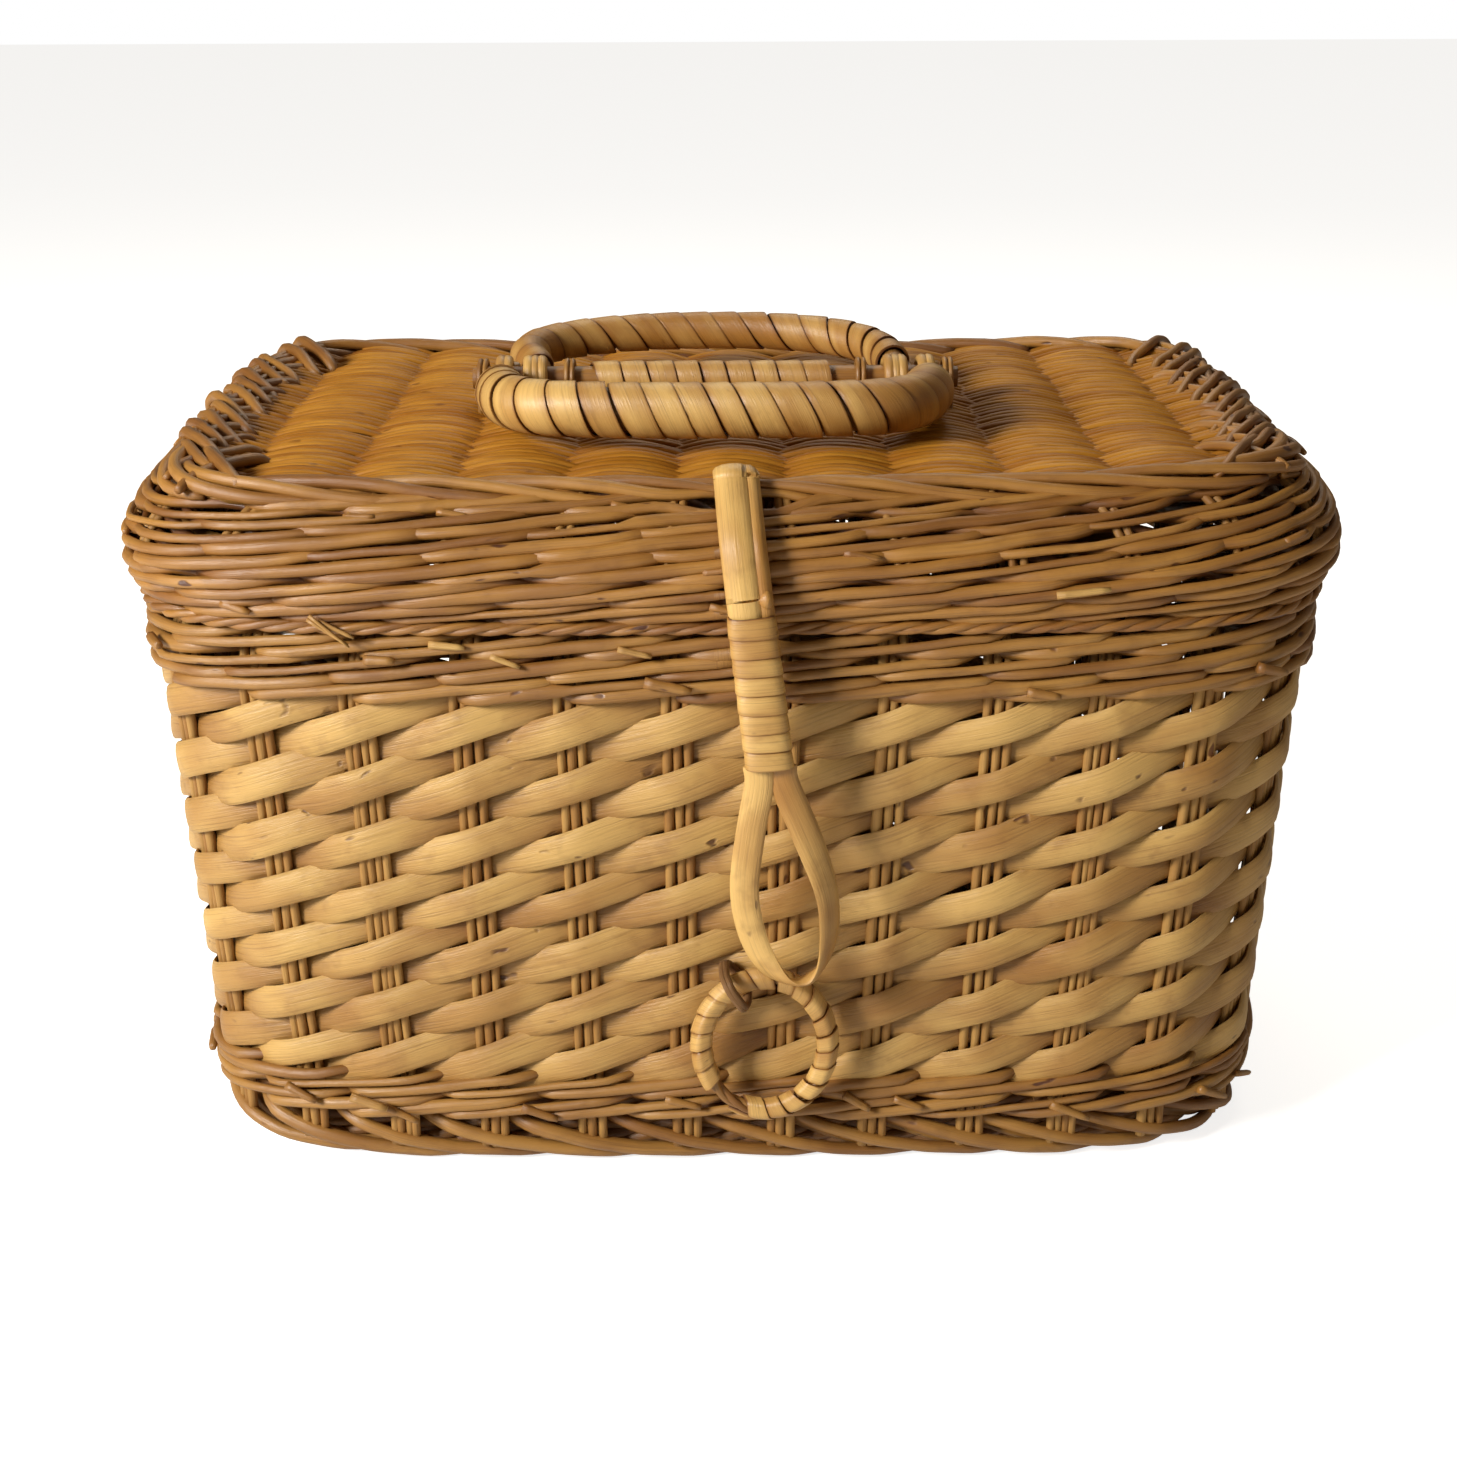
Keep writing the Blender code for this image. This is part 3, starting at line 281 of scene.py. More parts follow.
def makeWillowGroup():
    # Colour, roughness and height of peeled willow, laid along each strand, darkened by painted
    # shade
    group = bpy.data.node_groups.new("willowGrain", "ShaderNodeTree")
    addSocket(group, "Pale", "NodeSocketColor", "INPUT", (0.7, 0.5, 0.25, 1))
    addSocket(group, "Warm", "NodeSocketColor", "INPUT", (0.5, 0.3, 0.1, 1))
    addSocket(group, "Dark", "NodeSocketColor", "INPUT", (0.16, 0.07, 0.02, 1))
    addSocket(group, "Streaks", "NodeSocketFloat", "INPUT", 0.5)
    addSocket(group, "Knots", "NodeSocketFloat", "INPUT", 0.5)
    addSocket(group, "PaintedShade", "NodeSocketFloat", "INPUT", 0.5)
    addSocket(group, "Colour", "NodeSocketColor", "OUTPUT")
    addSocket(group, "Roughness", "NodeSocketFloat", "OUTPUT")
    addSocket(group, "Height", "NodeSocketFloat", "OUTPUT")
    nodes, links = group.nodes, group.links
    given = nodes.new("NodeGroupInput")
    result = nodes.new("NodeGroupOutput")

    def maths(operation, first, second=None, third=None, clamp=False):
        node = nodes.new("ShaderNodeMath")
        node.operation = operation
        node.use_clamp = clamp
        for socket, value in zip(node.inputs, (first, second, third)):
            if value is None:
                continue
            if isinstance(value, (int, float)):
                socket.default_value = value
            else:
                links.new(value, socket)
        return node.outputs[0]

    def noise(along, around, detail, shift=0.0):
        place = nodes.new("ShaderNodeCombineXYZ")
        links.new(maths("MULTIPLY_ADD", split.outputs["X"], along, seedShift), place.inputs["X"])
        links.new(maths("MULTIPLY_ADD", split.outputs["Y"], around, shift), place.inputs["Y"])
        links.new(seedShift, place.inputs["Z"])
        node = nodes.new("ShaderNodeTexNoise")
        node.inputs["Scale"].default_value = 1.0
        node.inputs["Detail"].default_value = detail
        node.inputs["Roughness"].default_value = 0.6
        links.new(place.outputs[0], node.inputs["Vector"])
        return node.outputs[0]

    def remap(value, low, high, toLow=0.0, toHigh=1.0):
        node = nodes.new("ShaderNodeMapRange")
        node.interpolation_type = "SMOOTHSTEP"
        for name, number in (("From Min", low), ("From Max", high), ("To Min", toLow),
                             ("To Max", toHigh)):
            node.inputs[name].default_value = number
        links.new(value, node.inputs["Value"])
        return node.outputs[0]

    def blend(factor, first, second, mode="MIX"):
        node = nodes.new("ShaderNodeMix")
        node.data_type = "RGBA"
        node.blend_type = mode
        for socket, value in ((node.inputs[0], factor), (node.inputs[6], first),
                              (node.inputs[7], second)):
            if isinstance(value, (int, float, tuple)):
                socket.default_value = value
            else:
                links.new(value, socket)
        return node.outputs[2]

    uv = nodes.new("ShaderNodeUVMap")
    uv.uv_map = "UVMap"
    split = nodes.new("ShaderNodeSeparateXYZ")
    links.new(uv.outputs[0], split.inputs[0])
    toneRead = nodes.new("ShaderNodeAttribute")
    toneRead.attribute_name = "tone"
    tone = nodes.new("ShaderNodeSeparateColor")
    links.new(toneRead.outputs["Color"], tone.inputs[0])
    tint, seed, shade = tone.outputs[0], tone.outputs[1], tone.outputs[2]
    seedShift = maths("MULTIPLY", seed, 71.0)

    blotch = noise(26.0, 60.0, 2.0)
    cloud = noise(90.0, 160.0, 3.0, 3.0)
    streak = noise(30.0, 2400.0, 4.0, 9.0)
    fibre = noise(160.0, 4200.0, 2.0, 5.0)
    knotField = noise(120.0, 330.0, 1.0, 17.0)
    knotPlace = noise(30.0, 20.0, 0.0, 29.0)

    warmth = maths("MULTIPLY_ADD", remap(blotch, 0.34, 0.66), 0.72,
                   maths("MULTIPLY_ADD", tint, 0.75, -0.25), clamp=True)
    body = blend(warmth, given.outputs["Pale"], given.outputs["Warm"])
    cloudMask = maths("MULTIPLY", remap(cloud, 0.50, 0.78), 0.40)
    body = blend(cloudMask, body, blend(0.5, given.outputs["Warm"], given.outputs["Dark"]))
    streakMask = maths("MULTIPLY", remap(streak, 0.47, 0.80), given.outputs["Streaks"])
    body = blend(streakMask, body, given.outputs["Dark"])
    knots = maths("MULTIPLY", remap(knotField, 0.68, 0.77), remap(knotPlace, 0.56, 0.62))
    knotMask = maths("MULTIPLY", knots, given.outputs["Knots"], clamp=True)
    body = blend(knotMask, body, (0.085, 0.024, 0.006, 1.0))
    # Painted shade: the tone's shade channel darkens the colour, and warms it, where strands pass
    # behind stakes and one another
    dim = maths("SUBTRACT", 1.0, maths("MULTIPLY", shade, given.outputs["PaintedShade"]))
    dimColour = nodes.new("ShaderNodeCombineColor")
    for socket, power in zip(dimColour.inputs, (1.0, 1.35, 1.8)):
        links.new(maths("POWER", dim, power), socket)
    body = blend(1.0, body, dimColour.outputs[0], "MULTIPLY")
    links.new(body, result.inputs["Colour"])
    links.new(maths("MULTIPLY_ADD", fibre, 0.22, maths("MULTIPLY_ADD", blotch, 0.14, 0.27)),
              result.inputs["Roughness"])
    height = maths("MULTIPLY_ADD", streak, -0.55, maths("MULTIPLY", fibre, 0.35))
    height = maths("MULTIPLY_ADD", cloud, 0.5, height)
    links.new(maths("MULTIPLY_ADD", knotMask, -0.8, height), result.inputs["Height"])
    return group


willowGroup = makeWillowGroup()


def makeWillow(name, look):
    # One willow finish: the grain group feeds a Principled shader
    material = bpy.data.materials.new(name)
    material.use_nodes = True
    nodes, links = material.node_tree.nodes, material.node_tree.links
    shader = nodes["Principled BSDF"]
    grain = nodes.new("ShaderNodeGroup")
    grain.node_tree = willowGroup
    for socket in ("Pale", "Warm", "Dark"):
        grain.inputs[socket].default_value = (*look[socket.lower()], 1.0)
    for socket in ("Streaks", "Knots", "PaintedShade"):
        grain.inputs[socket].default_value = look[socket.lower()]
    links.new(grain.outputs["Colour"], shader.inputs["Base Color"])
    links.new(grain.outputs["Roughness"], shader.inputs["Roughness"])
    bump = nodes.new("ShaderNodeBump")
    bump.inputs["Strength"].default_value = look["bump"]
    bump.inputs["Distance"].default_value = 0.0007
    links.new(grain.outputs["Height"], bump.inputs["Height"])
    links.new(bump.outputs[0], shader.inputs["Normal"])
    shader.inputs["Specular IOR Level"].default_value = look["gloss"]
    material.diffuse_color = (*look["warm"], 1.0)
    return material


# Each finish also sets how strongly the painted shade darkens it
finishes = {
    "split": {"pale": (0.64, 0.400, 0.125), "warm": (0.38, 0.185, 0.042),
              "dark": (0.14, 0.055, 0.014), "streaks": 0.50, "knots": 0.9, "paintedshade": 0.85,
              "bump": 0.70, "gloss": 0.55},
    "rod": {"pale": (0.42, 0.212, 0.046), "warm": (0.25, 0.103, 0.018),
            "dark": (0.08, 0.026, 0.007), "streaks": 0.45, "knots": 1.0, "paintedshade": 0.70,
            "bump": 0.45, "gloss": 0.70},
    "stake": {"pale": (0.50, 0.29, 0.09), "warm": (0.34, 0.165, 0.045), "dark": (0.10, 0.04, 0.012),
              "streaks": 0.40, "knots": 0.9, "paintedshade": 0.62, "bump": 0.45, "gloss": 0.25},
    "lidSkein": {"pale": (0.52, 0.235, 0.026), "warm": (0.34, 0.125, 0.008),
                 "dark": (0.10, 0.030, 0.004), "streaks": 0.50, "knots": 0.6, "paintedshade": 0.72,
                 "bump": 0.45, "gloss": 0.20},
    "lidRod": {"pale": (0.43, 0.205, 0.038), "warm": (0.24, 0.092, 0.012),
               "dark": (0.07, 0.022, 0.005), "streaks": 0.45, "knots": 1.0, "paintedshade": 0.72,
               "bump": 0.45, "gloss": 0.75},
    "wrap": {"pale": (0.72, 0.45, 0.14), "warm": (0.40, 0.18, 0.032), "dark": (0.13, 0.05, 0.012),
             "streaks": 0.45, "knots": 0.6, "paintedshade": 0.85, "bump": 0.45, "gloss": 0.70},
    "tie": {"pale": (0.26, 0.14, 0.06), "warm": (0.15, 0.075, 0.03), "dark": (0.05, 0.02, 0.01),
            "streaks": 0.6, "knots": 0.6, "paintedshade": 0.5, "bump": 0.9, "gloss": 0.2},
}
willow = {name: makeWillow("willow_" + name, look) for name, look in finishes.items()}
print("finishes made")

# Stakes
stakes = {"radius": 0.00160, "spacing": 0.0034, "inset": 0.0038, "neckInset": 0.0058,
          "bottom": 0.008, "lean": 0.0006, "fourShare": 0.22, "wander": 0.00035,
          "depthWander": 0.00018, "seed": 11}


def stakeGroup(bundle, group, rng):
    centre = (group + 0.5) / plan["groups"]
    count = 30
    height = np.linspace(stakes["bottom"], levels["neckTop"] - 0.0045, count)
    inset = stakes["inset"] + (stakes["neckInset"] - stakes["inset"]) * soft(
        height, levels["ledgeTop"] - 0.006, levels["ledgeTop"] + 0.003)
    lean = rng.normal(0, stakes["lean"])
    rods = 4 if rng.uniform() < stakes["fourShare"] else 3
    for k in range(rods):
        offset = (k - (rods - 1) / 2) * stakes["spacing"] * (3.0 / rods if rods > 3 else 1)
        sideways = offset + lean * (height - 0.1) / 0.1 + drift(count, 1.5, stakes["wander"], rng)
        share = centre + sideways / plan["wayRound"]
        half = wallHalf(height) - inset - drift(count, 2, stakes["depthWander"], rng)
        path, out = onPlan(share, half, height)
        radius = stakes["radius"] * rng.uniform(0.86, 1.08) * (0.86 if rods > 3 else 1)
        addStrand(bundle, path, out, radius * (1 + drift(count, 3, 0.05, rng)), radius,
                  ovalSection(8), toneRow(rng, count, 0.5, 0.25, 0.12), startSeed=rng.uniform(0, 3))


rng = np.random.default_rng(stakes["seed"])
sides = {"front_stakes": range(-5, 5), "right_stakes": range(5, 12),
         "back_stakes": range(12, 22), "left_stakes": range(22, 29)}
for node, groups in sides.items():
    bundle = newBundle()
    for group in groups:
        stakeGroup(bundle, group, rng)
    finishBundle(bundle, node.replace("_s", "S"), willow["stake"], "basket", [node],
                 0)

# The slanted randing
randing = {"rise": 0.0097, "start": 0.0315, "halfWidth": 0.0055, "halfThick": 0.00125,
           "outInset": 0.0009, "inInset": 0.0061, "steps": 14.4, "swell": (0.93, 0.98, 0.97),
           "wander": 0.00045, "bow": 0.0007, "tilt": 0.20, "tiltLost": 0.17, "seed": 5}


def randStrand(bundle, group, rng):
    # One split: behind a stake, before the next, always climbing to the right
    step = np.arange(-0.35, randing["steps"], 0.1)
    count = len(step)
    front = 0.5 - 0.5 * np.arcsin(0.93 * np.cos(math.pi * step)) / math.asin(0.93)
    share = (group + 0.5 + step) / plan["groups"]
    height = (randing["start"] + randing["rise"] * step + drift(count, 3, randing["wander"], rng)
              - randing["bow"] * np.sin(math.pi * step) * rng.uniform(0.4, 1.3))
    inset = randing["outInset"] * front + randing["inInset"] * (1 - front)
    half = wallHalf(np.clip(height, levels["foot"], None)) - inset - 0.0002 * rng.uniform()
    path, out = onPlan(share, half, height)
    # Its upper edge tucks in under the split above
    out[:, 2] += randing["tilt"] - randing["tiltLost"] * front + rng.normal(0, 0.04)
    width = randing["halfWidth"] * rng.uniform(0.90, 1.08) * (1 + drift(count, 5, 0.05, rng))
    width *= np.interp(front, [0, 0.5, 1], randing["swell"])
    # Painted shade: darker where the split passes behind a stake, and more on the half that turns
    # away from the key light
    leaving = 0.5 - 0.5 * np.sin(math.pi * (step - 0.5))
    shade = (0.22 + 0.30 * leaving) * (1 - front) ** 1.5
    tone = toneRow(rng, count, 0.42, 0.20, shade)
    tone[:, 0] = np.clip(tone[:, 0] + drift(count, 3, 0.10, rng), 0, 1)
    addStrand(bundle, path, out, width, randing["halfThick"], splitSection(), tone,
              startSeed=rng.uniform(0, 5))


rng = np.random.default_rng(randing["seed"])
bundle = newBundle()
for group in range(plan["groups"]):
    randStrand(bundle, group, rng)
weaveNodes = ["weave_row_%02d" % k for k in range(1, 12)]
finishBundle(bundle, "wallSplits", willow["split"], "basket", weaveNodes, 60)


# Waling
def waleRow(bundle, base, spacing, radius, frontHalf, backHalf, rng, tint=0.5, shift=0.0,
            sagOf=None, shape=None, radiusSpread=0.22):
    # Three rods wound as one: each passes before two stakes and behind the third
    total = 3 * plan["groups"]
    step = np.arange(0, total, 1 / 7)
    count = len(step)
    beat = (step + shift) % 3
    front = soft(np.abs(beat - 2.5), 0.20, 0.80)
    front = np.where(beat < 0.5, soft(beat + 0.5, 0.20, 0.80), front)
    offset = np.where(beat < 2, -spacing + spacing * beat,
                      spacing - 2 * spacing * soft(beat, 2.0, 3.0))
    height = base + offset + drift(count, 40, 0.00035, rng)
    period = np.floor((step + shift + 0.5) / 3).astype(int)
    rods = period.max() + 1
    size = radius * (1 + rng.normal(0, radiusSpread, rods).clip(-0.38, 0.38))
    middle = (np.arange(rods) * 3 + 1.0 - shift)
    thickness = np.interp(step, middle, size, period=total)
    half = frontHalf(height) * front + backHalf(height) * (1 - front) - thickness
    half += drift(count, 50, 0.00025, rng)
    path, out = onPlan((step % plan["groups"]) / plan["groups"], half, height)
    if sagOf is not None:
        path[:, 2] += sagOf(path)
    if shape is not None:
        path = shape(path)
    tints = np.clip(rng.normal(tint, 0.32, rods), 0, 1)
    seeds = rng.uniform(0, 1, rods)
    # Painted shade on each rod where it runs behind the stakes
    tone = np.column_stack([tints[period], seeds[period], 0.85 * (1 - front) ** 1.3])
    addStrand(bundle, path, out, thickness, thickness, ovalSection(8), tone, closed=True)


def stub(bundle, share, half, height, length, drop, radius, rng, outTilt=0.0, sagOf=None):
    # A cut end that lies out of the weave
    count = 6
    t = np.linspace(0, 1, count)
    places = share + t * length / plan["wayRound"]
    path, out = onPlan(places, half + outTilt * t, height - drop * t)
    if sagOf is not None:
        path[:, 2] += sagOf(path)
    # Painted shade at the root, where the end comes out of the weave
    tone = toneRow(rng, count, 0.2, 0.2, 0.25 * (1 - t))
    addStrand(bundle, path, out, radius * (1 - 0.25 * t), radius * 0.9, ovalSection(7), tone,
              startSeed=rng.uniform(0, 5), pointy=(0, 0.25))


waling = {"upsetRadius": 0.0017, "ledgeRadius": 0.0019, "neckRadius": 0.0011, "upsetOut": 0.0012,
          "ledgeOut": (0.0016, 0.0028, 0.0030), "ledgeReach": 0.1870, "depth": 0.0062,
          "upsetStubs": 26, "stubHeight": 0.03, "ledgeStubs": 9, "seed": 23}
rng = np.random.default_rng(waling["seed"])
for number in (1, 2):
    bundle = newBundle()
    pitch = (levels["weave"] - levels["upset"]) / 2
    base = levels["upset"] + pitch * (number - 0.5) - 0.0004
    waleRow(bundle, base, pitch / 2 - 0.0002, waling["upsetRadius"],
            lambda z: wallHalf(z) + waling["upsetOut"], lambda z: wallHalf(z) - waling["depth"],
            rng, 0.45,
            shift=rng.uniform(0, 3))
    if number == 2:
        for k in range(waling["upsetStubs"]):
            stub(bundle, (k + rng.uniform(0.1, 0.9)) / waling["upsetStubs"],
                 wallHalf(waling["stubHeight"]) + waling["upsetOut"],
                 rng.uniform(0.024, 0.031), rng.uniform(0.008, 0.014), rng.uniform(0.002, 0.006),
                 rng.uniform(0.0011, 0.0017), rng, 0.0008)
    finishBundle(bundle, "upsetWale%d" % number, willow["rod"], "basket",
                 ["upset_wale_%d" % number], 0)

ledgePitch = (levels["ledgeTop"] - levels["ledge"]) / 3
for number, rows in ((1, (0,)), (2, (1, 2))):
    bundle = newBundle()
    for row in rows:
        base = levels["ledge"] + ledgePitch * (row + 0.5) - 0.0002
        out = waling["ledgeOut"][row]
        waleRow(bundle, base, ledgePitch / 2 - 0.0001, waling["ledgeRadius"],
                lambda z, out=out: np.minimum(wallHalf(z) + out, waling["ledgeReach"]),
                lambda z: wallHalf(z) - waling["depth"], rng, 0.5, shift=rng.uniform(0, 3))
    for k in range(waling["ledgeStubs"]):
        stub(bundle, rng.uniform(0, 1), 0.1862, levels["ledge"] + rng.uniform(0.002, 0.014),
             rng.uniform(0.008, 0.015), rng.uniform(-0.001, 0.005),
             rng.uniform(0.0012, 0.0018), rng, 0.0012)
    finishBundle(bundle, "ledgeWale%d" % number, willow["rod"], "basket",
                 ["ledge_wale_%d" % number], 0)


# The neck inside the lid, and a corded rim
def rope(bundle, half, height, gap, radius, twists, rng, count=510, tint=0.5, rods=3, sagOf=None,
         shade=0.15):
    for k in range(rods):
        t = np.linspace(0, 1, count, endpoint=False)
        angle = 2 * math.pi * (twists * t + k / rods)
        path, out = onPlan(t, half + gap * np.cos(angle), height + gap * np.sin(angle))
        if sagOf is not None:
            path[:, 2] += sagOf(path)
        thickness = radius * (1 + drift(count, 20, 0.06, rng))
        addStrand(bundle, path, out, thickness, thickness, ovalSection(8),
                  toneRow(rng, count, tint, 0.2, shade), closed=True)


bundle = newBundle()
for row in range(3):
    waleRow(bundle, levels["ledgeTop"] + 0.0035 + 0.0056 * row, 0.0026, waling["neckRadius"],
            lambda z: wallHalf(z) - 0.0030, lambda z: wallHalf(z) - 0.0072, rng, 0.6,
            shift=rng.uniform(0, 3))
rope(bundle, halfSizes["neck"] - 0.0059, levels["neckTop"] - 0.0033, 0.0015, 0.00155, 33, rng)
finishBundle(bundle, "neckWeave", willow["rod"], "basket", ["inner_strands"], 0)

# Foot border
footBorder = {
    "radius": 0.0023, "span": 2.75, "innerRadius": 0.0021, "innerSpan": 2.2, "seed": 31,
    "heights": [0.0190, 0.0150, 0.0100, 0.0062, 0.0038, 0.0028],
    "halves": [0.1670, 0.1738, 0.1745, 0.1728, 0.1700, 0.1655],
    "innerHeights": [0.0180, 0.0125, 0.0080, 0.0048, 0.0040],
    "innerHalves": [0.1615, 0.1660, 0.1690, 0.1675, 0.1630],
    # Half length, height, gap, radius, twists, rods and shade of each rope behind the rods
    "ropes": [(0.1632, 0.0032, 0.0012, 0.0018, 22, 2, 0.3),
              (0.1640, 0.0130, 0.0022, 0.0024, 20, 3, 0.5),
              (0.1652, 0.0078, 0.0018, 0.0021, 24, 3, 0.4),
              (0.1690, 0.0212, 0.0016, 0.0021, 24, 3, 0.5)],
}


def borderRod(bundle, start, span, heights, halves, radius, rng, tint, sagOf=None, pinch=None,
              count=26, shadeEnds=0.7):
    # One rod of a rolled border, through given heights and half lengths along its way
    t = np.linspace(0, 1, count)
    knots = np.linspace(0, 1, len(heights))
    fine = np.linspace(0, 1, 200)
    kernel = np.hanning(31)
    kernel /= kernel.sum()

    def smooth(values):
        rough = np.interp(fine, knots, values)
        padded = np.concatenate([np.full(15, rough[0]), rough, np.full(15, rough[-1])])
        return np.interp(t, fine, np.convolve(padded, kernel, "valid"))

    height = smooth(heights) + drift(count, 1, 0.0003, rng)
    half = smooth(halves) + drift(count, 1, 0.0002, rng)
    path, out = onPlan((start + span * t) / plan["groups"], half, height)
    if sagOf is not None:
        path[:, 2] += sagOf(path)
    size = radius * rng.uniform(0.84, 1.1) * np.interp(t, [0, 0.1, 0.8, 1], [0.9, 1, 0.95, 0.8])
    if pinch is not None:
        path, size = pinch(path, size)
    # Painted shade towards both ends, where the rod dives into the weave
    shade = shadeEnds * np.clip(np.abs(t - 0.5) * 2.6 - 0.75, 0, 1)
    addStrand(bundle, path, out, size, size, ovalSection(9), toneRow(rng, count, tint, 0.2, shade),
              startSeed=rng.uniform(0, 5), pointy=(0.2, 0.3))


rng = np.random.default_rng(footBorder["seed"])
bundle = newBundle()
for group in range(plan["groups"]):
    borderRod(bundle, group + 0.45 + rng.normal(0, 0.05), footBorder["span"],
              footBorder["heights"], footBorder["halves"], footBorder["radius"], rng, 0.5)
    borderRod(bundle, group + 0.2, footBorder["innerSpan"], footBorder["innerHeights"],
              footBorder["innerHalves"], footBorder["innerRadius"], rng, 0.6)
for half, height, gap, radius, twists, rods, shade in footBorder["ropes"]:
    rope(bundle, half, height, gap, radius, twists, rng, tint=0.6, rods=rods, shade=shade)
finishBundle(bundle, "footBorder", willow["rod"], "basket", ["foot_border"], 0)


# Flat woven panels
def panelStrand(bundle, reach, place, crest, pitch, sign, middle, swing, halfWidth, halfThick,
                alongX, rng, tint, sagOf=None, shapeY=None):
    # One skein over and under the sticks; crest is where a stick lies
    count = max(int(2 * reach / pitch * 9), 12)
    run = np.linspace(-reach, reach, count)
    sway = drift(count, 3, 0.0016, rng)
    beat = np.cos(math.pi * (run - crest + sway) / pitch)
    wave = np.tanh(0.6 * beat) / math.tanh(0.6) * sign
    height = middle + swing * wave + drift(count, 6, 0.00012, rng)
    across = place + drift(count, 4, 0.00045, rng)
    if shapeY is not None:
        across = shapeY(run, across)
    if alongX:
        path = np.column_stack([run, across + plan["centreY"], height])
    else:
        path = np.column_stack([across, run + plan["centreY"], height])
    if sagOf is not None:
        path[:, 2] += sagOf(path)
    out = np.tile([0.0, 0.0, 1.0], (count, 1))
    width = halfWidth * rng.uniform(0.84, 1.1) * (1 + drift(count, 6, 0.05, rng))
    width *= 0.62 + 0.38 * np.abs(wave)
    ends = np.clip(1 - (reach - np.abs(run)) / 0.02, 0, 1)
    # Painted shade where the skein dips under a stick, and near its ends under the border
    shade = 0.80 * (0.5 - 0.5 * wave) ** 1.5 + 0.25 * ends
    addStrand(bundle, path, out, width, halfThick, ovalSection(8, 0.25),
              toneRow(rng, count, tint, 0.30, shade), startSeed=rng.uniform(0, 5))


def stick(bundle, start, end, radius, rng, sagOf=None, count=14):
    t = np.linspace(0, 1, count)[:, None]
    path = np.asarray(start) * (1 - t) + np.asarray(end) * t
    if sagOf is not None:
        path[:, 2] += sagOf(path)
    out = np.tile([0.0, 0.0, 1.0], (count, 1))
    addStrand(bundle, path, out, radius, radius, ovalSection(9),
              toneRow(rng, count, 0.5, 0.2, 0.2), startSeed=rng.uniform(0, 5))


base = {"sticks": 5, "pitch": 0.0327, "middle": 0.0146, "swing": 0.0025, "stickRadius": 0.0021,
        "rowPitch": 0.0031, "halfWidth": 0.0029, "half": 0.1590, "seed": 41}
rng = np.random.default_rng(base["seed"])
bundle = newBundle()
rows = int(2 * base["half"] / base["rowPitch"]) - 1
for row in range(rows):
    x = (row - (rows - 1) / 2) * base["rowPitch"]
    reach = planReach(base["half"], x, False) - 0.0005
    if reach > 0.02:
        panelStrand(bundle, reach, x, 0.0, base["pitch"], 1 if row % 2 else -1, base["middle"],
                    base["swing"], base["halfWidth"], 0.0009, False, rng, 0.5)
finishBundle(bundle, "baseWeave", willow["rod"], "basket", ["base_panel"], 0)
bundle = newBundle()
for number in range(base["sticks"]):
    y = (number - (base["sticks"] - 1) / 2) * base["pitch"]
    reach = planReach(base["half"], abs(y) + 0.0024, True) + 0.001
    for side in (-1, 1):
        place = y + plan["centreY"] + side * base["stickRadius"]
        stick(bundle, (-reach, place, base["middle"]), (reach, place, base["middle"]),
              base["stickRadius"], rng)
finishBundle(bundle, "baseSticks", willow["stake"], "basket",
             ["base_stick_%d" % k for k in range(1, 6)], 0)
print("basket body woven")

# Hinge rings
hinges = {"radius": 0.0037, "rod": 0.00085, "turns": 3, "width": 0.0050}
lidAxis = {"y": 0.1277, "z": 0.1896}
rng = np.random.default_rng(53)
for name in ("left_hinge_ring", "right_hinge_ring"):
    low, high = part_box(name)
    x = (low.x + high.x) / 2
    bundle = newBundle()
    count = 32 * hinges["turns"]
    t = np.linspace(0, 1, count)
    angle = 2 * math.pi * hinges["turns"] * t
    path = np.column_stack([x + hinges["width"] * (t - 0.5),
                            lidAxis["y"] + hinges["radius"] * np.cos(angle),
                            lidAxis["z"] + hinges["radius"] * np.sin(angle)])
    out = np.column_stack([np.zeros(count), np.cos(angle), np.sin(angle)])
    addStrand(bundle, path, out, 0.0011, hinges["rod"], ovalSection(8),
              toneRow(rng, count, 0.5, 0.1, 0.1))
    finishBundle(bundle, name.replace("_hinge_ring", "HingeRing"), willow["tie"], "basket",
                 [name], 0)

# Lid sides
lid = {"rows": 6, "low": 0.1915, "high": 0.2262, "rodRadius": 0.00175, "stakeRadius": 0.0013,
       "stakeSpacing": 0.0031, "seed": 61}


def sagSides(path):
    share = np.clip((path[:, 2] - levels["lidFoot"]) / (levels["lidTop"] - levels["lidFoot"]), 0, 1)
    return lidSag(path[:, 0], path[:, 1] - plan["centreY"]) * share ** 1.5


strapAxis = {"x": 0.0020, "y": -0.1026, "z": 0.2280, "notch": 0.0070, "halfWidth": 0.0072,
             "foldClear": 0.0092}


def clearFold(path):
    # The rods give way to the strap's fold, which turns between them
    near = soft(-np.abs(path[:, 0] - strapAxis["x"]), -0.026, -0.0095) * (path[:, 1] < -0.08)
    offset = path[:, 1:] - np.array([strapAxis["y"], strapAxis["z"]])
    distance = np.maximum(np.linalg.norm(offset, axis=1), 1e-9)
    scale = 1 + near * (np.maximum(distance, strapAxis["foldClear"]) / distance - 1)
    path[:, 1:] = np.array([strapAxis["y"], strapAxis["z"]]) + offset * scale[:, None]
    return path


